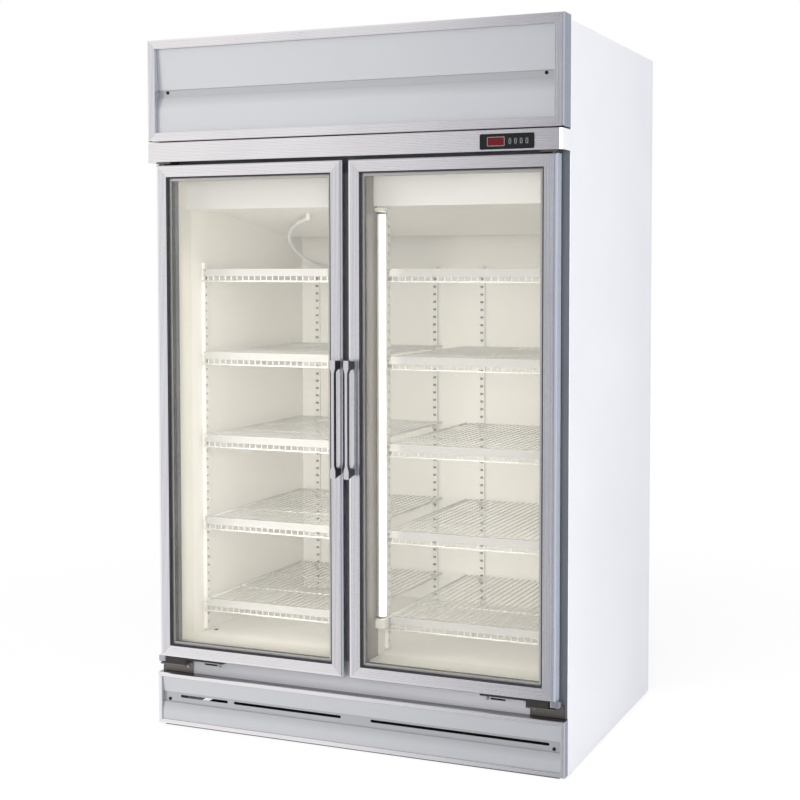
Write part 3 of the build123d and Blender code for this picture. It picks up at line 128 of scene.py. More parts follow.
class Nodes:
    """A short way to write a node tree. Its coordinates are the part's metres."""

    def __init__(self, tree):
        self.tree = tree

    def add(self, kind, **settings):
        node = self.tree.nodes.new(kind)
        for key, value in settings.items():
            setattr(node, key, value)
        return node

    def join(self, source, target):
        self.tree.links.new(source, target)

    def feed(self, socket, value):
        """Links a socket, or sets it from a number, colour or vector."""
        if isinstance(value, bpy.types.NodeSocket):
            self.join(value, socket)
        else:
            socket.default_value = value

    def place(self):
        return self.add("ShaderNodeTexCoord").outputs["Object"]

    def axis(self, name):
        """The surface's X, Y or Z, in metres."""
        split = self.add("ShaderNodeSeparateXYZ")
        self.join(self.place(), split.inputs[0])
        return split.outputs[name]

    def math(self, operation, a, b=0.0):
        node = self.add("ShaderNodeMath", operation=operation)
        self.feed(node.inputs[0], a)
        self.feed(node.inputs[1], b)
        return node.outputs[0]

    def both(self, a, b):
        """One where two masks are one, and nought elsewhere."""
        return self.math("MULTIPLY", a, b)

    def beyond(self, value, limit):
        """One where a value is over a limit, and nought elsewhere."""
        return self.math("GREATER_THAN", value, limit)

    def within(self, value, limits):
        """One where a value lies between two limits, and nought elsewhere."""
        low, high = limits
        return self.both(self.beyond(value, low), self.math("LESS_THAN", value, high))

    def inverse(self, mask):
        return self.math("SUBTRACT", 1.0, mask)

    def scaled(self, vector, scale):
        node = self.add("ShaderNodeVectorMath", operation="MULTIPLY")
        self.feed(node.inputs[0], vector)
        self.feed(node.inputs[1], scale)
        return node.outputs[0]

    def noise(self, vector, scale, detail=3.0, rough=0.5):
        node = self.add("ShaderNodeTexNoise")
        self.feed(node.inputs["Vector"], vector)
        node.inputs["Scale"].default_value = scale
        node.inputs["Detail"].default_value = detail
        node.inputs["Roughness"].default_value = rough
        return node.outputs["Fac"]

    def spread(self, value, low, high, start=0.3, end=0.7):
        """Runs from low to high while a value goes from start to end."""
        node = self.add("ShaderNodeMapRange")
        self.feed(node.inputs["Value"], value)
        node.inputs["From Min"].default_value = start
        node.inputs["From Max"].default_value = end
        node.inputs["To Min"].default_value = low
        node.inputs["To Max"].default_value = high
        return node.outputs["Result"]

    def blend(self, factor, a, b):
        """Goes from one colour to another as the factor goes from nought to one."""
        node = self.add("ShaderNodeMix", data_type="RGBA")
        self.feed(node.inputs["Factor"], factor)
        for name, colour in (("A", a), ("B", b)):
            linked = isinstance(colour, bpy.types.NodeSocket)
            self.feed(node.inputs[name], colour if linked else (*colour, 1.0))
        return node.outputs["Result"]


class Finish(Nodes):
    """A material, written round its Principled shader."""

    def __init__(self, name):
        self.material = bpy.data.materials.new(name)
        self.material.use_nodes = True
        super().__init__(self.material.node_tree)
        self.bsdf = self.tree.nodes["Principled BSDF"]

    def paint(self, colour, roughness, metallic=0.0):
        self.feed(self.bsdf.inputs["Base Color"], colour)
        self.feed(self.bsdf.inputs["Roughness"], roughness)
        self.bsdf.inputs["Metallic"].default_value = metallic

    def tint(self, mask, colour):
        """Paints a colour over the base colour where the mask is one."""
        base = self.bsdf.inputs["Base Color"]
        under = base.links[0].from_socket
        self.join(self.blend(mask, under, colour), base)

    def metal(self, amount):
        self.join(amount, self.bsdf.inputs["Metallic"])

    def bump(self, height, strength, distance):
        node = self.add("ShaderNodeBump")
        self.feed(node.inputs["Height"], height)
        node.inputs["Strength"].default_value = strength
        node.inputs["Distance"].default_value = distance
        self.join(node.outputs["Normal"], self.bsdf.inputs["Normal"])


def shade(colour, factor):
    return tuple(min(1.0, c * factor) for c in colour)


# A drawn metal's streaks to the metre, across it and along it
STREAKS_ACROSS, STREAKS_ALONG = 420.0, 1.6
# A plain finish's grain and smudges, as multiples of its scale
GRAIN, SMUDGE = 12, 0.06


def plain(name, colour, roughness, metallic=0.0, scale=60.0, stretch=(1, 1, 1), bump=0.1,
          vary=0.05, coat=0.0, depth=0.0004, shine=0.5, uneven=0.06):
    """A painted, moulded or cast finish: fine grain, faint smudges and an uneven gloss.

    bump and depth are the grain's relief, vary and uneven say how far the colour and the gloss
    wander, and shine is the specular level.
    """
    n = Finish(name)
    where = n.scaled(n.place(), stretch)
    grain = n.noise(where, scale * GRAIN, 3.0, 0.6)
    smudge = n.noise(where, scale * SMUDGE, 4.0, 0.55)
    tone = n.blend(n.spread(smudge, 0.0, 1.0), shade(colour, 1 - vary), shade(colour, 1 + vary * 0.4))
    fine = n.blend(n.spread(grain, 0.0, 0.5 * vary, 0.35, 0.65), tone, shade(colour, 0.6))
    fleck = n.spread(grain, roughness - uneven / 2, roughness + uneven / 2)
    gloss = n.math("ADD", n.spread(smudge, -uneven, uneven), fleck)
    n.paint(fine, gloss, metallic)
    n.bump(grain, bump, depth)
    n.bsdf.inputs["Coat Weight"].default_value = coat
    n.bsdf.inputs["Specular IOR Level"].default_value = shine
    return n


def brushed(name, colour, roughness, rect=None, metallic=1.0, streak=0.07):
    """Drawn aluminium with streaks along each rail of a frame.

    rect is the frame's (x0, x1, z0, z1) in metres. Without it all streaks run along x.
    """
    n = Finish(name)
    where = n.place()
    course = n.scaled(where, (STREAKS_ALONG, STREAKS_ACROSS, STREAKS_ACROSS))
    if rect:
        x0, x1, z0, z1 = rect
        x, z = n.axis("X"), n.axis("Z")
        side = n.math("MINIMUM", n.math("SUBTRACT", x, x0), n.math("SUBTRACT", x1, x))
        level = n.math("MINIMUM", n.math("SUBTRACT", z, z0), n.math("SUBTRACT", z1, z))
        chosen = n.add("ShaderNodeMix", data_type="VECTOR")
        n.feed(chosen.inputs["Factor"], n.math("LESS_THAN", side, level))
        n.feed(chosen.inputs["A"], course)
        n.feed(chosen.inputs["B"], n.scaled(where, (STREAKS_ACROSS, STREAKS_ACROSS, STREAKS_ALONG)))
        course = chosen.outputs["Result"]
    lines = n.noise(course, 1.0, 2.0, 0.6)
    cloud = n.noise(where, 3.0, 4.0, 0.5)
    tone = n.blend(n.spread(lines, 0.0, 1.0), shade(colour, 1 - streak), shade(colour, 1 + streak * 0.5))
    dull = n.math("ADD", n.spread(cloud, -0.05, 0.05), n.spread(lines, roughness - 0.05, roughness + 0.06))
    n.paint(tone, dull, metallic)
    n.bump(lines, 0.05, 0.0003)
    return n


def galvanised(name, colour):
    """Zinc-coated sheet with its spangle."""
    n = Finish(name)
    where = n.place()
    cells = n.add("ShaderNodeTexVoronoi")
    n.join(where, cells.inputs["Vector"])
    cells.inputs["Scale"].default_value = 90.0
    fleck = n.math("MULTIPLY", cells.outputs["Distance"], 1.2)
    grain = n.noise(where, 400.0, 3.0, 0.6)
    tone = n.blend(fleck, shade(colour, 0.88), shade(colour, 1.1))
    n.paint(tone, n.spread(fleck, 0.36, 0.5, 0.0, 1.0), 0.9)
    n.bump(grain, 0.08, 0.0003)
    return n


def clear_glass():
    """Door glass: almost clear, with a mirror at a slant and a breath of dust."""
    n = Finish("door_glass")
    dust = n.noise(n.place(), 5.0, 5.0, 0.6)
    n.paint((0.95, 0.96, 0.96, 1.0), n.spread(dust, 0.02, 0.05))
    clear = n.add("ShaderNodeBsdfTransparent")
    clear.inputs["Color"].default_value = (0.990, 0.986, 0.978, 1.0)
    weight = n.add("ShaderNodeLayerWeight")
    weight.inputs["Blend"].default_value = 0.5
    slant = n.math("POWER", weight.outputs["Facing"], 5.0)
    mirror = n.math("ADD", n.math("MULTIPLY", slant, 0.9), n.spread(dust, 0.026, 0.038))
    mix = n.add("ShaderNodeMixShader")
    n.join(mirror, mix.inputs["Fac"])
    n.join(clear.outputs[0], mix.inputs[1])
    n.join(n.bsdf.outputs[0], mix.inputs[2])
    n.join(mix.outputs[0], n.tree.nodes["Material Output"].inputs["Surface"])
    return n


# Colours that several finishes share
ALUMINIUM = (0.89, 0.875, 0.88)
CREAM = (0.80, 0.78, 0.70)
PANEL = (0.63, 0.645, 0.66)
# SHADOWED is a painted shade, for hollows that the lamps don't reach
SHADOWED = (0.10, 0.096, 0.085)

# Outlines of the frames of drawn aluminium, in metres
HALF_WIDTH = 0.6275
DOOR_NEAR, DOOR_FAR = 0.008, 0.6065
DOOR_Z = (0.212, 1.652)
CANOPY_RECT = (-HALF_WIDTH, HALF_WIDTH, 1.718, 2.01)
KICK_RECT = (-HALF_WIDTH, HALF_WIDTH, 0.005, 0.1575)


def band(middle):
    """The limits of the channel inside a pilaster, from its middle, in metres."""
    return (middle - 0.0076, middle + 0.0076)


# Where a finish changes on its solid, in metres
PILASTER_Y = band(depth_plane(165.0))
BACK_PILASTERS_X = (band(0.083), band(0.517))
PILASTER_FOOT = 0.252
WALL_PILASTER_Z = (PILASTER_FOOT, 1.355)
POST_PILASTER_Z = (PILASTER_FOOT, 1.518)
LINER_SIDE, LINER_REAR = 0.5765, depth_plane(822.5)
MULLION_PLATE = depth_plane(12)
MULLION_STRIP = 0.0405
HANDLE_FRONT = depth_plane(-87.6)
CLOSER_END, CLOSER_TOP = 0.5882, 1.0
BRIGHT_SCREWS_Z = (0.12, 1.0)
SPACER_FRONT = depth_plane(-40.6)
DOOR_EDGE = 0.6058
# Each folded panel's slope foot, and the channel's lower and upper edge, which bound its painted shade
CHANNELS = ((0.0415, 0.0695, 0.1005), (1.8125, 1.8455, 1.867))
LEDGE_TOP, LEDGE_FRONT = 0.1568, depth_plane(-24.5)
LAMP_SPLIT = 0.0485
LAMP_GLOW = 2.2


def liner():
    """White liner, painted dark where the slotted pilasters close it off from the lamps: a painted shade."""
    n = plain("liner_white", (0.87, 0.85, 0.795), 0.42, scale=35.0, bump=0.05, vary=0.025)
    y = n.axis("Y")
    out = n.math("ABSOLUTE", n.axis("X"))
    level = n.within(n.axis("Z"), WALL_PILASTER_Z)
    wall = n.both(n.within(y, PILASTER_Y), n.beyond(out, LINER_SIDE))
    # Painted shade behind the wall pilasters
    n.tint(n.both(wall, level), SHADOWED)
    rear = n.beyond(y, LINER_REAR)
    for limits in BACK_PILASTERS_X:
        strip = n.both(rear, n.within(out, limits))
        # Lighter painted shade behind the back pilasters
        n.tint(n.both(strip, level), (0.30, 0.29, 0.27))
    return n


def mullion():
    """Dark grey face plate, and a cream post behind it with a painted shadow inside each pilaster."""
    n = plain("mullion_grey", (0.23, 0.23, 0.25), 0.40, bump=0.08, vary=0.08)
    y = n.axis("Y")
    n.tint(n.beyond(y, MULLION_PLATE), CREAM)
    shadow = n.both(n.within(y, PILASTER_Y), n.within(n.axis("Z"), POST_PILASTER_Z))
    # Painted shadow where the pilasters' slots show the post
    n.tint(shadow, shade(SHADOWED, 0.3))
    return n


def breaker():
    """Cream strips round each opening, and brown ones beside the mullion."""
    n = plain("breaker_cream", CREAM, 0.40, scale=50.0, bump=0.06, vary=0.03)
    out = n.math("ABSOLUTE", n.axis("X"))
    n.tint(n.math("LESS_THAN", out, MULLION_STRIP), (0.20, 0.175, 0.145))
    return n


def handle():
    """A bright metal strip along the front of the grip, whose sides are painted near black as painted shade
    for the dark they mirror.
    """
    n = plain("handle_metal", (0.80, 0.80, 0.81), 0.30, scale=30.0, stretch=(4, 4, 0.2), bump=0.06, vary=0.06)
    front = n.math("LESS_THAN", n.axis("Y"), HANDLE_FRONT)
    # Painted shade: the grip's sides are made near black and not metal
    n.tint(n.inverse(front), (0.028, 0.029, 0.032))
    n.metal(front)
    return n


def pivots():
    """A chrome knuckle under the corner of the door, and a dark closer beside it."""
    n = plain("pivot_chrome", (0.52, 0.52, 0.53), 0.26, bump=0.05, vary=0.06)
    inward = n.math("LESS_THAN", n.math("ABSOLUTE", n.axis("X")), CLOSER_END)
    closer = n.both(inward, n.math("LESS_THAN", n.axis("Z"), CLOSER_TOP))
    n.tint(closer, (0.030, 0.027, 0.027))
    n.metal(n.inverse(n.math("MULTIPLY", closer, 0.7)))
    return n


def screws():
    """Bright screws on the hinges and the sill, dark ones in the channels."""
    n = plain("screw_steel", (0.50, 0.48, 0.46), 0.26, metallic=1.0, bump=0.05, vary=0.06)
    n.tint(n.inverse(n.within(n.axis("Z"), BRIGHT_SCREWS_Z)), (0.055, 0.055, 0.06))
    return n


def spacer():
    """The bar between the panes: a bright front edge before a dark olive top, the spacer's own dull colour
    darkened further as painted shade.
    """
    n = brushed("spacer_aluminium", (0.72, 0.71, 0.68), 0.42)
    # Painted shade over the spacer's own dull colour, behind its front edge
    n.tint(n.beyond(n.axis("Y"), SPACER_FRONT), (0.115, 0.108, 0.078))
    return n


def door(side, word):
    """A door's frame: drawn aluminium, its outer edge satin and a shade bluer."""
    x0, x1 = sorted((side * DOOR_NEAR, side * DOOR_FAR))
    n = brushed(f"door_{word}_aluminium", ALUMINIUM, 0.22, (x0, x1, *DOOR_Z))
    edge = n.beyond(n.math("ABSOLUTE", n.axis("X")), DOOR_EDGE)
    n.tint(edge, (0.50, 0.55, 0.64))
    n.metal(n.inverse(n.math("MULTIPLY", edge, 0.85)))
    return n


def panel():
    """Grey sheet of the canopy and the kick plate, with painted shade in its channel and fading out down the
    slope below.
    """
    n = plain("panel_grey", PANEL, 0.30, metallic=0.75, scale=40.0, bump=0.002, vary=0.012,
              depth=0.0001, uneven=0.01)
    z = n.axis("Z")
    for foot, low, high in CHANNELS:
        slope = n.math("MULTIPLY", n.within(z, (foot, low)), n.spread(z, 0.0, 1.0, foot, low))
        # Painted shade in the channel, fading out down the slope
        n.tint(n.math("MAXIMUM", n.within(z, (low, high)), slope), shade(PANEL, 0.78))
    return n


def kick():
    """The kick plate's frame, its top ledge painted dark under the doors as painted shade."""
    n = brushed("kick_aluminium", ALUMINIUM, 0.22, KICK_RECT)
    ledge = n.both(n.beyond(n.axis("Z"), LEDGE_TOP), n.beyond(n.axis("Y"), LEDGE_FRONT))
    # Painted shade on the ledge under the doors
    n.tint(ledge, (0.20, 0.20, 0.21))
    return n


def lamp_tube():
    """A tube lit on the side that faces its bay, in a white half shell on the other."""
    glow = (1.0, 0.99, 0.965)
    n = Finish("lamp_tube_lit")
    uneven = n.noise(n.place(), 8.0, 2.0, 0.5)
    lit = n.beyond(n.math("ABSOLUTE", n.axis("X")), LAMP_SPLIT)
    n.paint(n.blend(lit, (0.80, 0.79, 0.73), (0.95, 0.95, 0.93)), n.spread(uneven, 0.25, 0.35))
    tone = n.blend(n.spread(uneven, 0.0, 1.0), shade(glow, 0.96), glow)
    n.join(tone, n.bsdf.inputs["Emission Color"])
    n.join(n.math("MULTIPLY", lit, LAMP_GLOW), n.bsdf.inputs["Emission Strength"])
    return n


finishes = {
    "door_left": door(-1, "left"),
    "door_right": door(1, "right"),
    "canopy": brushed("canopy_aluminium", ALUMINIUM, 0.22, CANOPY_RECT),
    "kick": kick(),
    "header": brushed("header_aluminium", ALUMINIUM, 0.22),
    # The sill's grey aluminium is set darker, partly as painted shade under the doors
    "sill": brushed("sill_aluminium", (0.54, 0.54, 0.56), 0.42, metallic=0.35),
    "spacer": spacer(),
    "handle": handle(),
    "cabinet": plain("cabinet_white", (0.90, 0.905, 0.93), 0.36, scale=40.0, bump=0.05, vary=0.02, coat=0.15),
    "panel": panel(),
    "galvanised": galvanised("galvanised_sheet", (0.62, 0.64, 0.66)),
    "dark_steel": plain("dark_steel", (0.030, 0.030, 0.034), 0.42, metallic=0.3, scale=70.0,
                        bump=0.15, vary=0.2),
    "bracket": plain("bracket_steel", (0.22, 0.20, 0.18), 0.36, metallic=0.9, stretch=(1, 1, 0.15),
                     bump=0.12, vary=0.25),
    "black": plain("black_plastic", (0.010, 0.011, 0.011), 0.40, scale=80.0, bump=0.12, vary=0.2, shine=0.15),
    "foam": plain("insulation_foam", (0.86, 0.78, 0.56), 0.85, scale=30.0, bump=0.6, vary=0.12, depth=0.002),
    "liner": liner(),
    "pilaster": plain("pilaster_white", (0.84, 0.83, 0.78), 0.38, scale=45.0, bump=0.05, vary=0.03),
    "cream": plain("cream_plastic", CREAM, 0.40, scale=50.0, bump=0.06, vary=0.03),
    "breaker": breaker(),
    "frame_grey": plain("frame_grey", (0.105, 0.112, 0.13), 0.40, bump=0.08, vary=0.08),
    "mullion": mullion(),
    "ticket": plain("ticket_plastic", (0.50, 0.495, 0.475), 0.22, bump=0.04, vary=0.02, coat=0.3),
    "bright": plain("bright_steel", (0.72, 0.72, 0.73), 0.20, metallic=1.0, bump=0.05, vary=0.06),
    "pivots": pivots(),
    "screws": screws(),
    "cover": plain("cover_grey", (0.73, 0.725, 0.715), 0.45, scale=50.0, bump=0.06, vary=0.03),
    "coil": plain("coil_aluminium", (0.70, 0.71, 0.73), 0.38, metallic=1.0, vary=0.08),
    "wire": plain("shelf_wire", (0.88, 0.88, 0.86), 0.24, scale=90.0, bump=0.05, vary=0.03, coat=0.4),
    "compressor": plain("compressor_black", (0.014, 0.014, 0.015), 0.28, scale=50.0,
                        bump=0.3, vary=0.3, coat=0.4),
    "gasket": plain("gasket_rubber", (0.026, 0.026, 0.029), 0.55, scale=90.0, bump=0.15, vary=0.15),
    "keys": plain("key_plastic", (0.022, 0.023, 0.025), 0.45, scale=90.0, vary=0.1, shine=0.2),
    "copper": plain("copper_pipe", (0.80, 0.42, 0.26), 0.30, metallic=1.0, scale=50.0, bump=0.08, vary=0.1),
    "rubber_foot": plain("foot_black", (0.020, 0.020, 0.022), 0.5, scale=70.0, bump=0.2, vary=0.2),
    "glass": clear_glass(),
    "lamp": lamp_tube(),
    "window": plain("display_window", (0.085, 0.006, 0.009), 0.3, bump=0.02, vary=0.1, shine=0.2),
    "outline": plain("display_outline", (0.17, 0.165, 0.165), 0.4, bump=0.02, vary=0.08),
    "icons": plain("key_icons", (0.26, 0.26, 0.27), 0.5, scale=90.0, bump=0.05),
}

NODE_FINISHES = {
    "side_panel_left": "cabinet",
    "side_panel_right": "cabinet",
    "back_panel": "galvanised",
    "base_frame": "dark_steel",
    "levelling_feet": "rubber_foot",
    "insulation": "foam",
    "inner_liner": "liner",
    "front_frame": "frame_grey",
    "sill_rail": "sill",
    "mullion": "mullion",
    "breaker_strips": "breaker",
    "pilasters": "pilaster",
    "ticket_rails": "ticket",
    "shelf_clips": "bright",
    "evaporator_cover": "cover",
    "drain_pan": "liner",
    "evaporator_coil": "coil",
    "blower_rotor": "black",
    "lamp_tubes": "lamp",
    "lamp_holders": "cream",
    "canopy_frame": "canopy",
    "canopy_panels": "panel",
    "header_rail": "header",
    "controller_housing": "black",
    "kick_frame": "kick",
    "kick_panels": "panel",
    "hinge_brackets": "bracket",
    "panel_screws": "screws",
    "machine_deck": "galvanised",
    "compressor": "compressor",
    "condenser": "coil",
    "condenser_fan": "black",
}
for number in range(1, 5):
    NODE_FINISHES[f"controller_key_{number}"] = "keys"
for _, word in SIDES:
    NODE_FINISHES[f"door_{word}_frame"] = f"door_{word}"
    for part in ("glass", "spacer", "gasket", "handle", "pivots"):
        NODE_FINISHES[f"door_{word}_{part}"] = part
for node, finish in NODE_FINISHES.items():
    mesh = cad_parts[node].data
    mesh.materials.clear()
    mesh.materials.append(finishes[finish].material)


def piece(name, bm, finish, body, smooth=True):
    """Turns a bmesh into a piece that rides on a body."""
    mesh = bpy.data.meshes.new(name)
    bmesh.ops.recalc_face_normals(bm, faces=bm.faces)
    bm.to_mesh(mesh)
    bm.free()
    mesh.materials.append(finishes[finish].material)
    for face in mesh.polygons:
        face.use_smooth = smooth
    obj = link(bpy.data.objects.new(name, mesh))
    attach(obj, body)
    return obj


def square_to(axis):
    """A direction square to an axis."""
    helper = Vector((0, 0, 1)) if abs(axis.z) < 0.9 else Vector((1, 0, 0))
    return axis.cross(helper).normalized()


def around(u, v, sides):
    """Directions spaced evenly round a circle, in the plane of u and v."""
    angles = [2 * math.pi * k / sides for k in range(sides)]
    return [u * math.cos(angle) + v * math.sin(angle) for angle in angles]


def skin(bm, rings):
    """Joins rings of points into one form, closed flat at both ends."""
    for near, far in zip(rings, rings[1:]):
        for k in range(len(near)):
            after = (k + 1) % len(near)
            bm.faces.new((near[k], near[after], far[after], far[k]))
    bm.faces.new(rings[0][::-1])
    bm.faces.new(rings[-1])


def tube(bm, points, radius, sides=8):
    """Adds a round bar along points, square to its runs at the ends and mitred between them."""
    runs = [(after - before).normalized() for before, after in zip(points, points[1:])]
    u = square_to(runs[0])
    rings = []
    for i, place in enumerate(points):
        before, after = runs[max(i - 1, 0)], runs[min(i, len(runs) - 1)]
        along = (before + after).normalized()
        u = (u - along * u.dot(along)).normalized()
        bend = after - before
        swell = bend.normalized() if bend.length > 1e-6 else Vector()
        widen = 1 / max(0.5, along.dot(before)) - 1
        ring = []
        for offset in around(u, along.cross(u), sides):
            mitred = offset + swell * offset.dot(swell) * widen
            ring.append(bm.verts.new(place + mitred * radius))
        rings.append(ring)
    skin(bm, rings)


def bent(points, radius, steps=5):
    """The same path with each corner rounded, for a bent wire or pipe."""
    path = [points[0]]
    for before, corner, after in zip(points, points[1:], points[2:]):
        back, onward = before - corner, after - corner
        reach = min(radius, back.length * 0.45, onward.length * 0.45)
        for k in range(steps + 1):
            share = k / steps
            leaving = corner + back.normalized() * reach * (1 - share)
            joining = corner + onward.normalized() * reach * share
            path.append(leaving * (1 - share) + joining * share)
    path.append(points[-1])
    return path


def turned(bm, foot, up, profile, sides=32):
    """Adds a turned form on an upright axis, from (height, radius) pairs in millimetres.

    up is 1 where the form rises from its foot, and -1 where it hangs down.
    """
    axis = Vector((0, 0, up))
    u = square_to(axis)
    rings = []
    for height, radius in profile:
        middle = foot + axis * height / 1000
        rings.append([bm.verts.new(middle + out * radius / 1000) for out in around(u, axis.cross(u), sides)])
    skin(bm, rings)


def rounded_plate(bm, centre, width, height, radius, thick, corner_steps=6):
    """Adds a plate that faces -Y, in millimetres, its back at the centre's depth."""
    front, back = [], []
    for x_side, z_side, start in ((1, 1, 0), (-1, 1, 90), (-1, -1, 180), (1, -1, 270)):
        for k in range(corner_steps + 1):
            angle = math.radians(start + 90 * k / corner_steps)
            x = x_side * (width / 2 - radius) + radius * math.cos(angle)
            z = z_side * (height / 2 - radius) + radius * math.sin(angle)
            front.append(bm.verts.new(centre + Vector((x, -thick, z)) / 1000))
            back.append(bm.verts.new(centre + Vector((x, 0, z)) / 1000))
    skin(bm, [back, front])


# Wire shelves, each in place of its plain grid
SHELF_LEFT, SHELF_RIGHT = 41.0, 564.0
SHELF_FRONT, SHELF_BACK, SHELF_DROP = 130.0, 778.0, 37.5
SHELF_Z = (350.0, 600.0, 850.0, 1100.0, 1350.0)
WIRES, WIRE_R, BAR_R = 27, 1.6, 2.5
CROSS_GAPS = 3
WIRE_BEND = 0.005


def wire_shelf(x0, x1, top):
    """Wires from back to front, turned down at the front, on cross bars and two side bars.

    The lowest cross bar runs along the wires' turned-down ends.
    """
    bm = bmesh.new()
    wire_z = top - WIRE_R
    bar_z = top - 2 * WIRE_R - BAR_R
    low_z = top - SHELF_DROP + BAR_R
    pitch = (x1 - x0 - 2 * BAR_R) / (WIRES - 1)
    for k in range(WIRES):
        x = x0 + BAR_R + k * pitch
        run = [
            at(x, SHELF_BACK, wire_z),
            at(x, SHELF_FRONT + WIRE_R, wire_z),
            at(x, SHELF_FRONT + WIRE_R, low_z - BAR_R),
        ]
        tube(bm, bent(run, WIRE_BEND, 4), WIRE_R / 1000)
    front, back = SHELF_FRONT + BAR_R, SHELF_BACK - BAR_R
    bars = [(front + k / CROSS_GAPS * (back - front), bar_z) for k in range(CROSS_GAPS + 1)]
    for depth, z in (*bars, (front, low_z)):
        tube(bm, [at(x0, depth, z), at(x1, depth, z)], BAR_R / 1000, 10)
    for x in (x0 + BAR_R, x1 - BAR_R):
        tube(bm, [at(x, SHELF_FRONT, bar_z), at(x, SHELF_BACK, bar_z)], BAR_R / 1000, 10)
    return bm


for side, word in SIDES:
    x0, x1 = sorted((side * SHELF_LEFT, side * SHELF_RIGHT))
    for number, top in enumerate(SHELF_Z, start=1):
        shelf = piece(f"wire_shelf_{word}_{number}", wire_shelf(x0, x1, top), "wire", "cabinet")
        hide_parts(f"shelf_{word}_{number}")

# Metal caps on the lamp tubes' ends
LAMP_X, LAMP_DEPTH = 50.0, 84.0
LAMP_ENDS = ((356.0, 1), (1512.0, -1))
CAP_PROFILE = ((0, 11.5), (0.6, 12.9), (2, 13.1), (6.5, 13.1), (7.5, 12.8), (8, 12.6))
for side, word in SIDES:
    bm = bmesh.new()
    for z, up in LAMP_ENDS:
        turned(bm, at(side * LAMP_X, LAMP_DEPTH, z), up, CAP_PROFILE)
    piece(f"lamp_caps_{word}", bm, "bright", "cabinet")

# Controller: the display's outline and window, and a mark of four bars on each key. A bar is
# its middle's x and z on the key, its width and its height.
CONTROLLER_Z = 1683.5
BEZEL, KEY_FACE = -72.5, -73.3
DISPLAY_X = 447.0
OUTLINE_THICK = 0.25
KEY_XS = (486.0, 501.5, 517.0, 532.5)
MARK_BARS = ((0, 5.5, 6.5, 1.2), (0, -5.5, 6.5, 1.2), (-2.6, 0, 1.2, 7.0), (2.6, 0, 1.2, 7.0))
bm = bmesh.new()
rounded_plate(bm, at(DISPLAY_X, BEZEL, CONTROLLER_Z), 48.5, 24.5, 2.0, OUTLINE_THICK)
piece("display_outline", bm, "outline", "cabinet", smooth=False)
bm = bmesh.new()
rounded_plate(bm, at(DISPLAY_X, BEZEL - OUTLINE_THICK, CONTROLLER_Z), 45.0, 21.0, 1.4, 0.2)
piece("display_window", bm, "window", "cabinet", smooth=False)
for number, key_x in enumerate(KEY_XS, start=1):
    bm = bmesh.new()
    face = at(key_x, KEY_FACE, CONTROLLER_Z)
    for dx, dz, width, height in MARK_BARS:
        rounded_plate(bm, face + Vector((dx, 0, dz)) / 1000, width, height, 0.4, 0.12, 2)
    piece(f"key_mark_{number}", bm, "icons", f"key_{number}", smooth=False)

# Plug in the liner's floor
bm = bmesh.new()
turned(bm, at(-546.0, 174.0, 246.0), 1, ((0, 6.5), (1.2, 6.3), (2.0, 5.2), (2.3, 3.0)), 24)
piece("floor_plug", bm, "black", "cabinet")

# Refrigerant pipes, each a radius and a route: two from the compressor to the condenser, and
# one down into the roof deck
PIPES = (
    (3.2, ((172, 430, 1830), (130, 430, 1830), (130, 300, 1830), (130, 170, 1900), (-60, 170, 1900))),
    (4.0, ((172, 415, 1770), (110, 415, 1770), (110, 190, 1770), (-60, 190, 1770))),
    (5.0, ((250, 512, 1800), (250, 560, 1800), (120, 600, 1800), (60, 600, 1718.5))),
)
PIPE_BEND = 0.03
bm = bmesh.new()
for radius, route in PIPES:
    tube(bm, bent([at(*place) for place in route], PIPE_BEND, 8), radius / 1000, 12)
piece("copper_pipes", bm, "copper", "cabinet")

# Studio: a pale floor, a soft even surround, four lamps round the object and one in each bay
WHITE = (1.0, 1.0, 1.0)
FLOOR_HALF = 14.0
UNDER_X, UNDER_Y = (-0.61, 0.61), (-0.412, 0.47)
SHADOW_REACH = (1.2, 3.2)
FLOOR_GLOW = (0.76, 0.99)


def grey(level):
    return (level, level, level)


def floor_finish():
    """Matt and pale under the lamps. The camera sees it darker, but with a glow of its own.

    Near the object the glow is weaker and the paint less dark, so that the shadow shows there.
    Under the object the floor has no glow and is painted dark, a painted shade.
    """
    n = Finish("floor_pale")
    rays = n.add("ShaderNodeLightPath").outputs
    seen = n.math("MAXIMUM", rays["Is Camera Ray"], rays["Is Glossy Ray"])
    seen = n.math("MAXIMUM", seen, rays["Is Transmission Ray"])
    away = n.add("ShaderNodeVectorMath", operation="LENGTH")
    n.join(n.place(), away.inputs[0])
    far = n.spread(away.outputs["Value"], 0.0, 1.0, *SHADOW_REACH)
    under = n.both(n.within(n.axis("X"), UNDER_X), n.within(n.axis("Y"), UNDER_Y))
    lit = n.both(seen, n.inverse(under))
    pale = n.blend(n.noise(n.place(), 30.0), grey(0.86), grey(0.88))
    faint = n.blend(far, grey(0.26), grey(0.02))
    n.paint(n.blend(lit, pale, faint), 0.9)
    # Painted shade under the object
    n.tint(under, grey(0.10))
    n.bsdf.inputs["Specular IOR Level"].default_value = 0.0
    n.bsdf.inputs["Emission Color"].default_value = (*WHITE, 1.0)
    glow = n.math("MULTIPLY", lit, n.spread(far, *FLOOR_GLOW, 0.0, 1.0))
    n.join(glow, n.bsdf.inputs["Emission Strength"])
    return n


bm = bmesh.new()
bmesh.ops.create_grid(bm, x_segments=1, y_segments=1, size=FLOOR_HALF)
floor_mesh = bpy.data.meshes.new("studio_floor")
bm.to_mesh(floor_mesh)
bm.free()
floor_mesh.materials.append(floor_finish().material)
floor = link(bpy.data.objects.new("studio_floor", floor_mesh))
# The metals mirror the surround in place of the floor
floor.visible_glossy = False

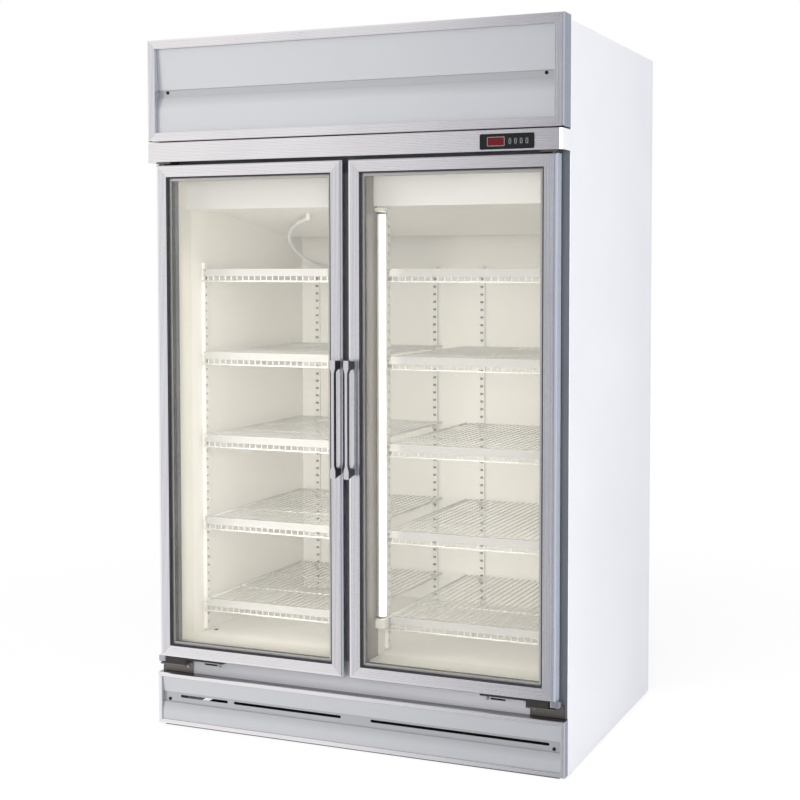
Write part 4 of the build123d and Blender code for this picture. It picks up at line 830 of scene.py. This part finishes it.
# The surround that the metals mirror, from its left to its right: bright to the front left,
# dimmer and bluer round to the right
MIRRORED = (
    (0.17, (1.00, 0.985, 0.995)),
    (0.27, (0.98, 0.965, 0.98)),
    (0.31, (0.90, 0.895, 0.92)),
    (0.333, (0.68, 0.685, 0.72)),
    (0.348, (0.30, 0.305, 0.34)),
    (0.42, (0.27, 0.28, 0.33)),
    (0.65, (0.36, 0.39, 0.46)),
    (1.00, (0.60, 0.64, 0.71)),
)
AMBIENT = (0.61, 0.615, 0.62)


def studio_world():
    """White to the camera and through glass, an even grey as light, and shaded for mirrors."""
    world = bpy.data.worlds.new("studio")
    world.use_nodes = True
    n = Nodes(world.node_tree)
    split = n.add("ShaderNodeSeparateXYZ")
    n.join(n.add("ShaderNodeTexCoord").outputs["Generated"], split.inputs[0])
    mirrored = n.add("ShaderNodeValToRGB")
    stops = mirrored.color_ramp.elements
    while len(stops) < len(MIRRORED):
        stops.new(0.5)
    for stop, (position, colour) in zip(stops, MIRRORED):
        stop.position = position
        stop.color = (*colour, 1.0)
    n.join(n.spread(split.outputs["X"], 0.0, 1.0, -1.0, 1.0), mirrored.inputs["Fac"])
    rays = n.add("ShaderNodeLightPath").outputs
    shown = n.blend(rays["Is Glossy Ray"], AMBIENT, mirrored.outputs["Color"])
    shown = n.blend(rays["Is Transmission Ray"], shown, WHITE)
    shown = n.blend(rays["Is Camera Ray"], shown, WHITE)
    n.join(shown, n.tree.nodes["Background"].inputs["Color"])
    return world


bpy.context.scene.world = studio_world()


def lamp(name, place, target, size, power, hidden=False):
    """An area lamp, kept out of the metals' reflections so that their colour stays."""
    data = bpy.data.lights.new(name, "AREA")
    data.shape = "RECTANGLE"
    data.size, data.size_y = size
    data.energy = power
    obj = link(bpy.data.objects.new(name, data))
    obj.location = place
    obj.rotation_mode = "QUATERNION"
    obj.rotation_quaternion = (Vector(target) - Vector(place)).to_track_quat("-Z", "Y")
    obj.visible_glossy = False
    obj.visible_camera = not hidden


lamp("key_light", (-2.2, -4.2, 3.4), (0, 0, 1.0), (2.6, 2.6), 60.0)
lamp("front_light", (0.9, -3.7, 1.35), (0, 0.2, 0.95), (1.6, 1.6), 76.0)
lamp("side_light", (4.6, -1.2, 2.2), (0.4, 0, 1.0), (2.4, 3.0), 63.0)
lamp("top_light", (0.3, -0.6, 4.6), (0, 0, 1.0), (3.0, 3.0), 35.0)
for (side, word), power in zip(SIDES, (2.1, 1.0)):
    middle = at(side * 300, 25, 860)
    lamp(f"bay_light_{word}", middle, middle + Vector((0, 1, 0)), (0.48, 1.1), power, hidden=True)

bpy.context.scene.view_settings.view_transform = "Standard"
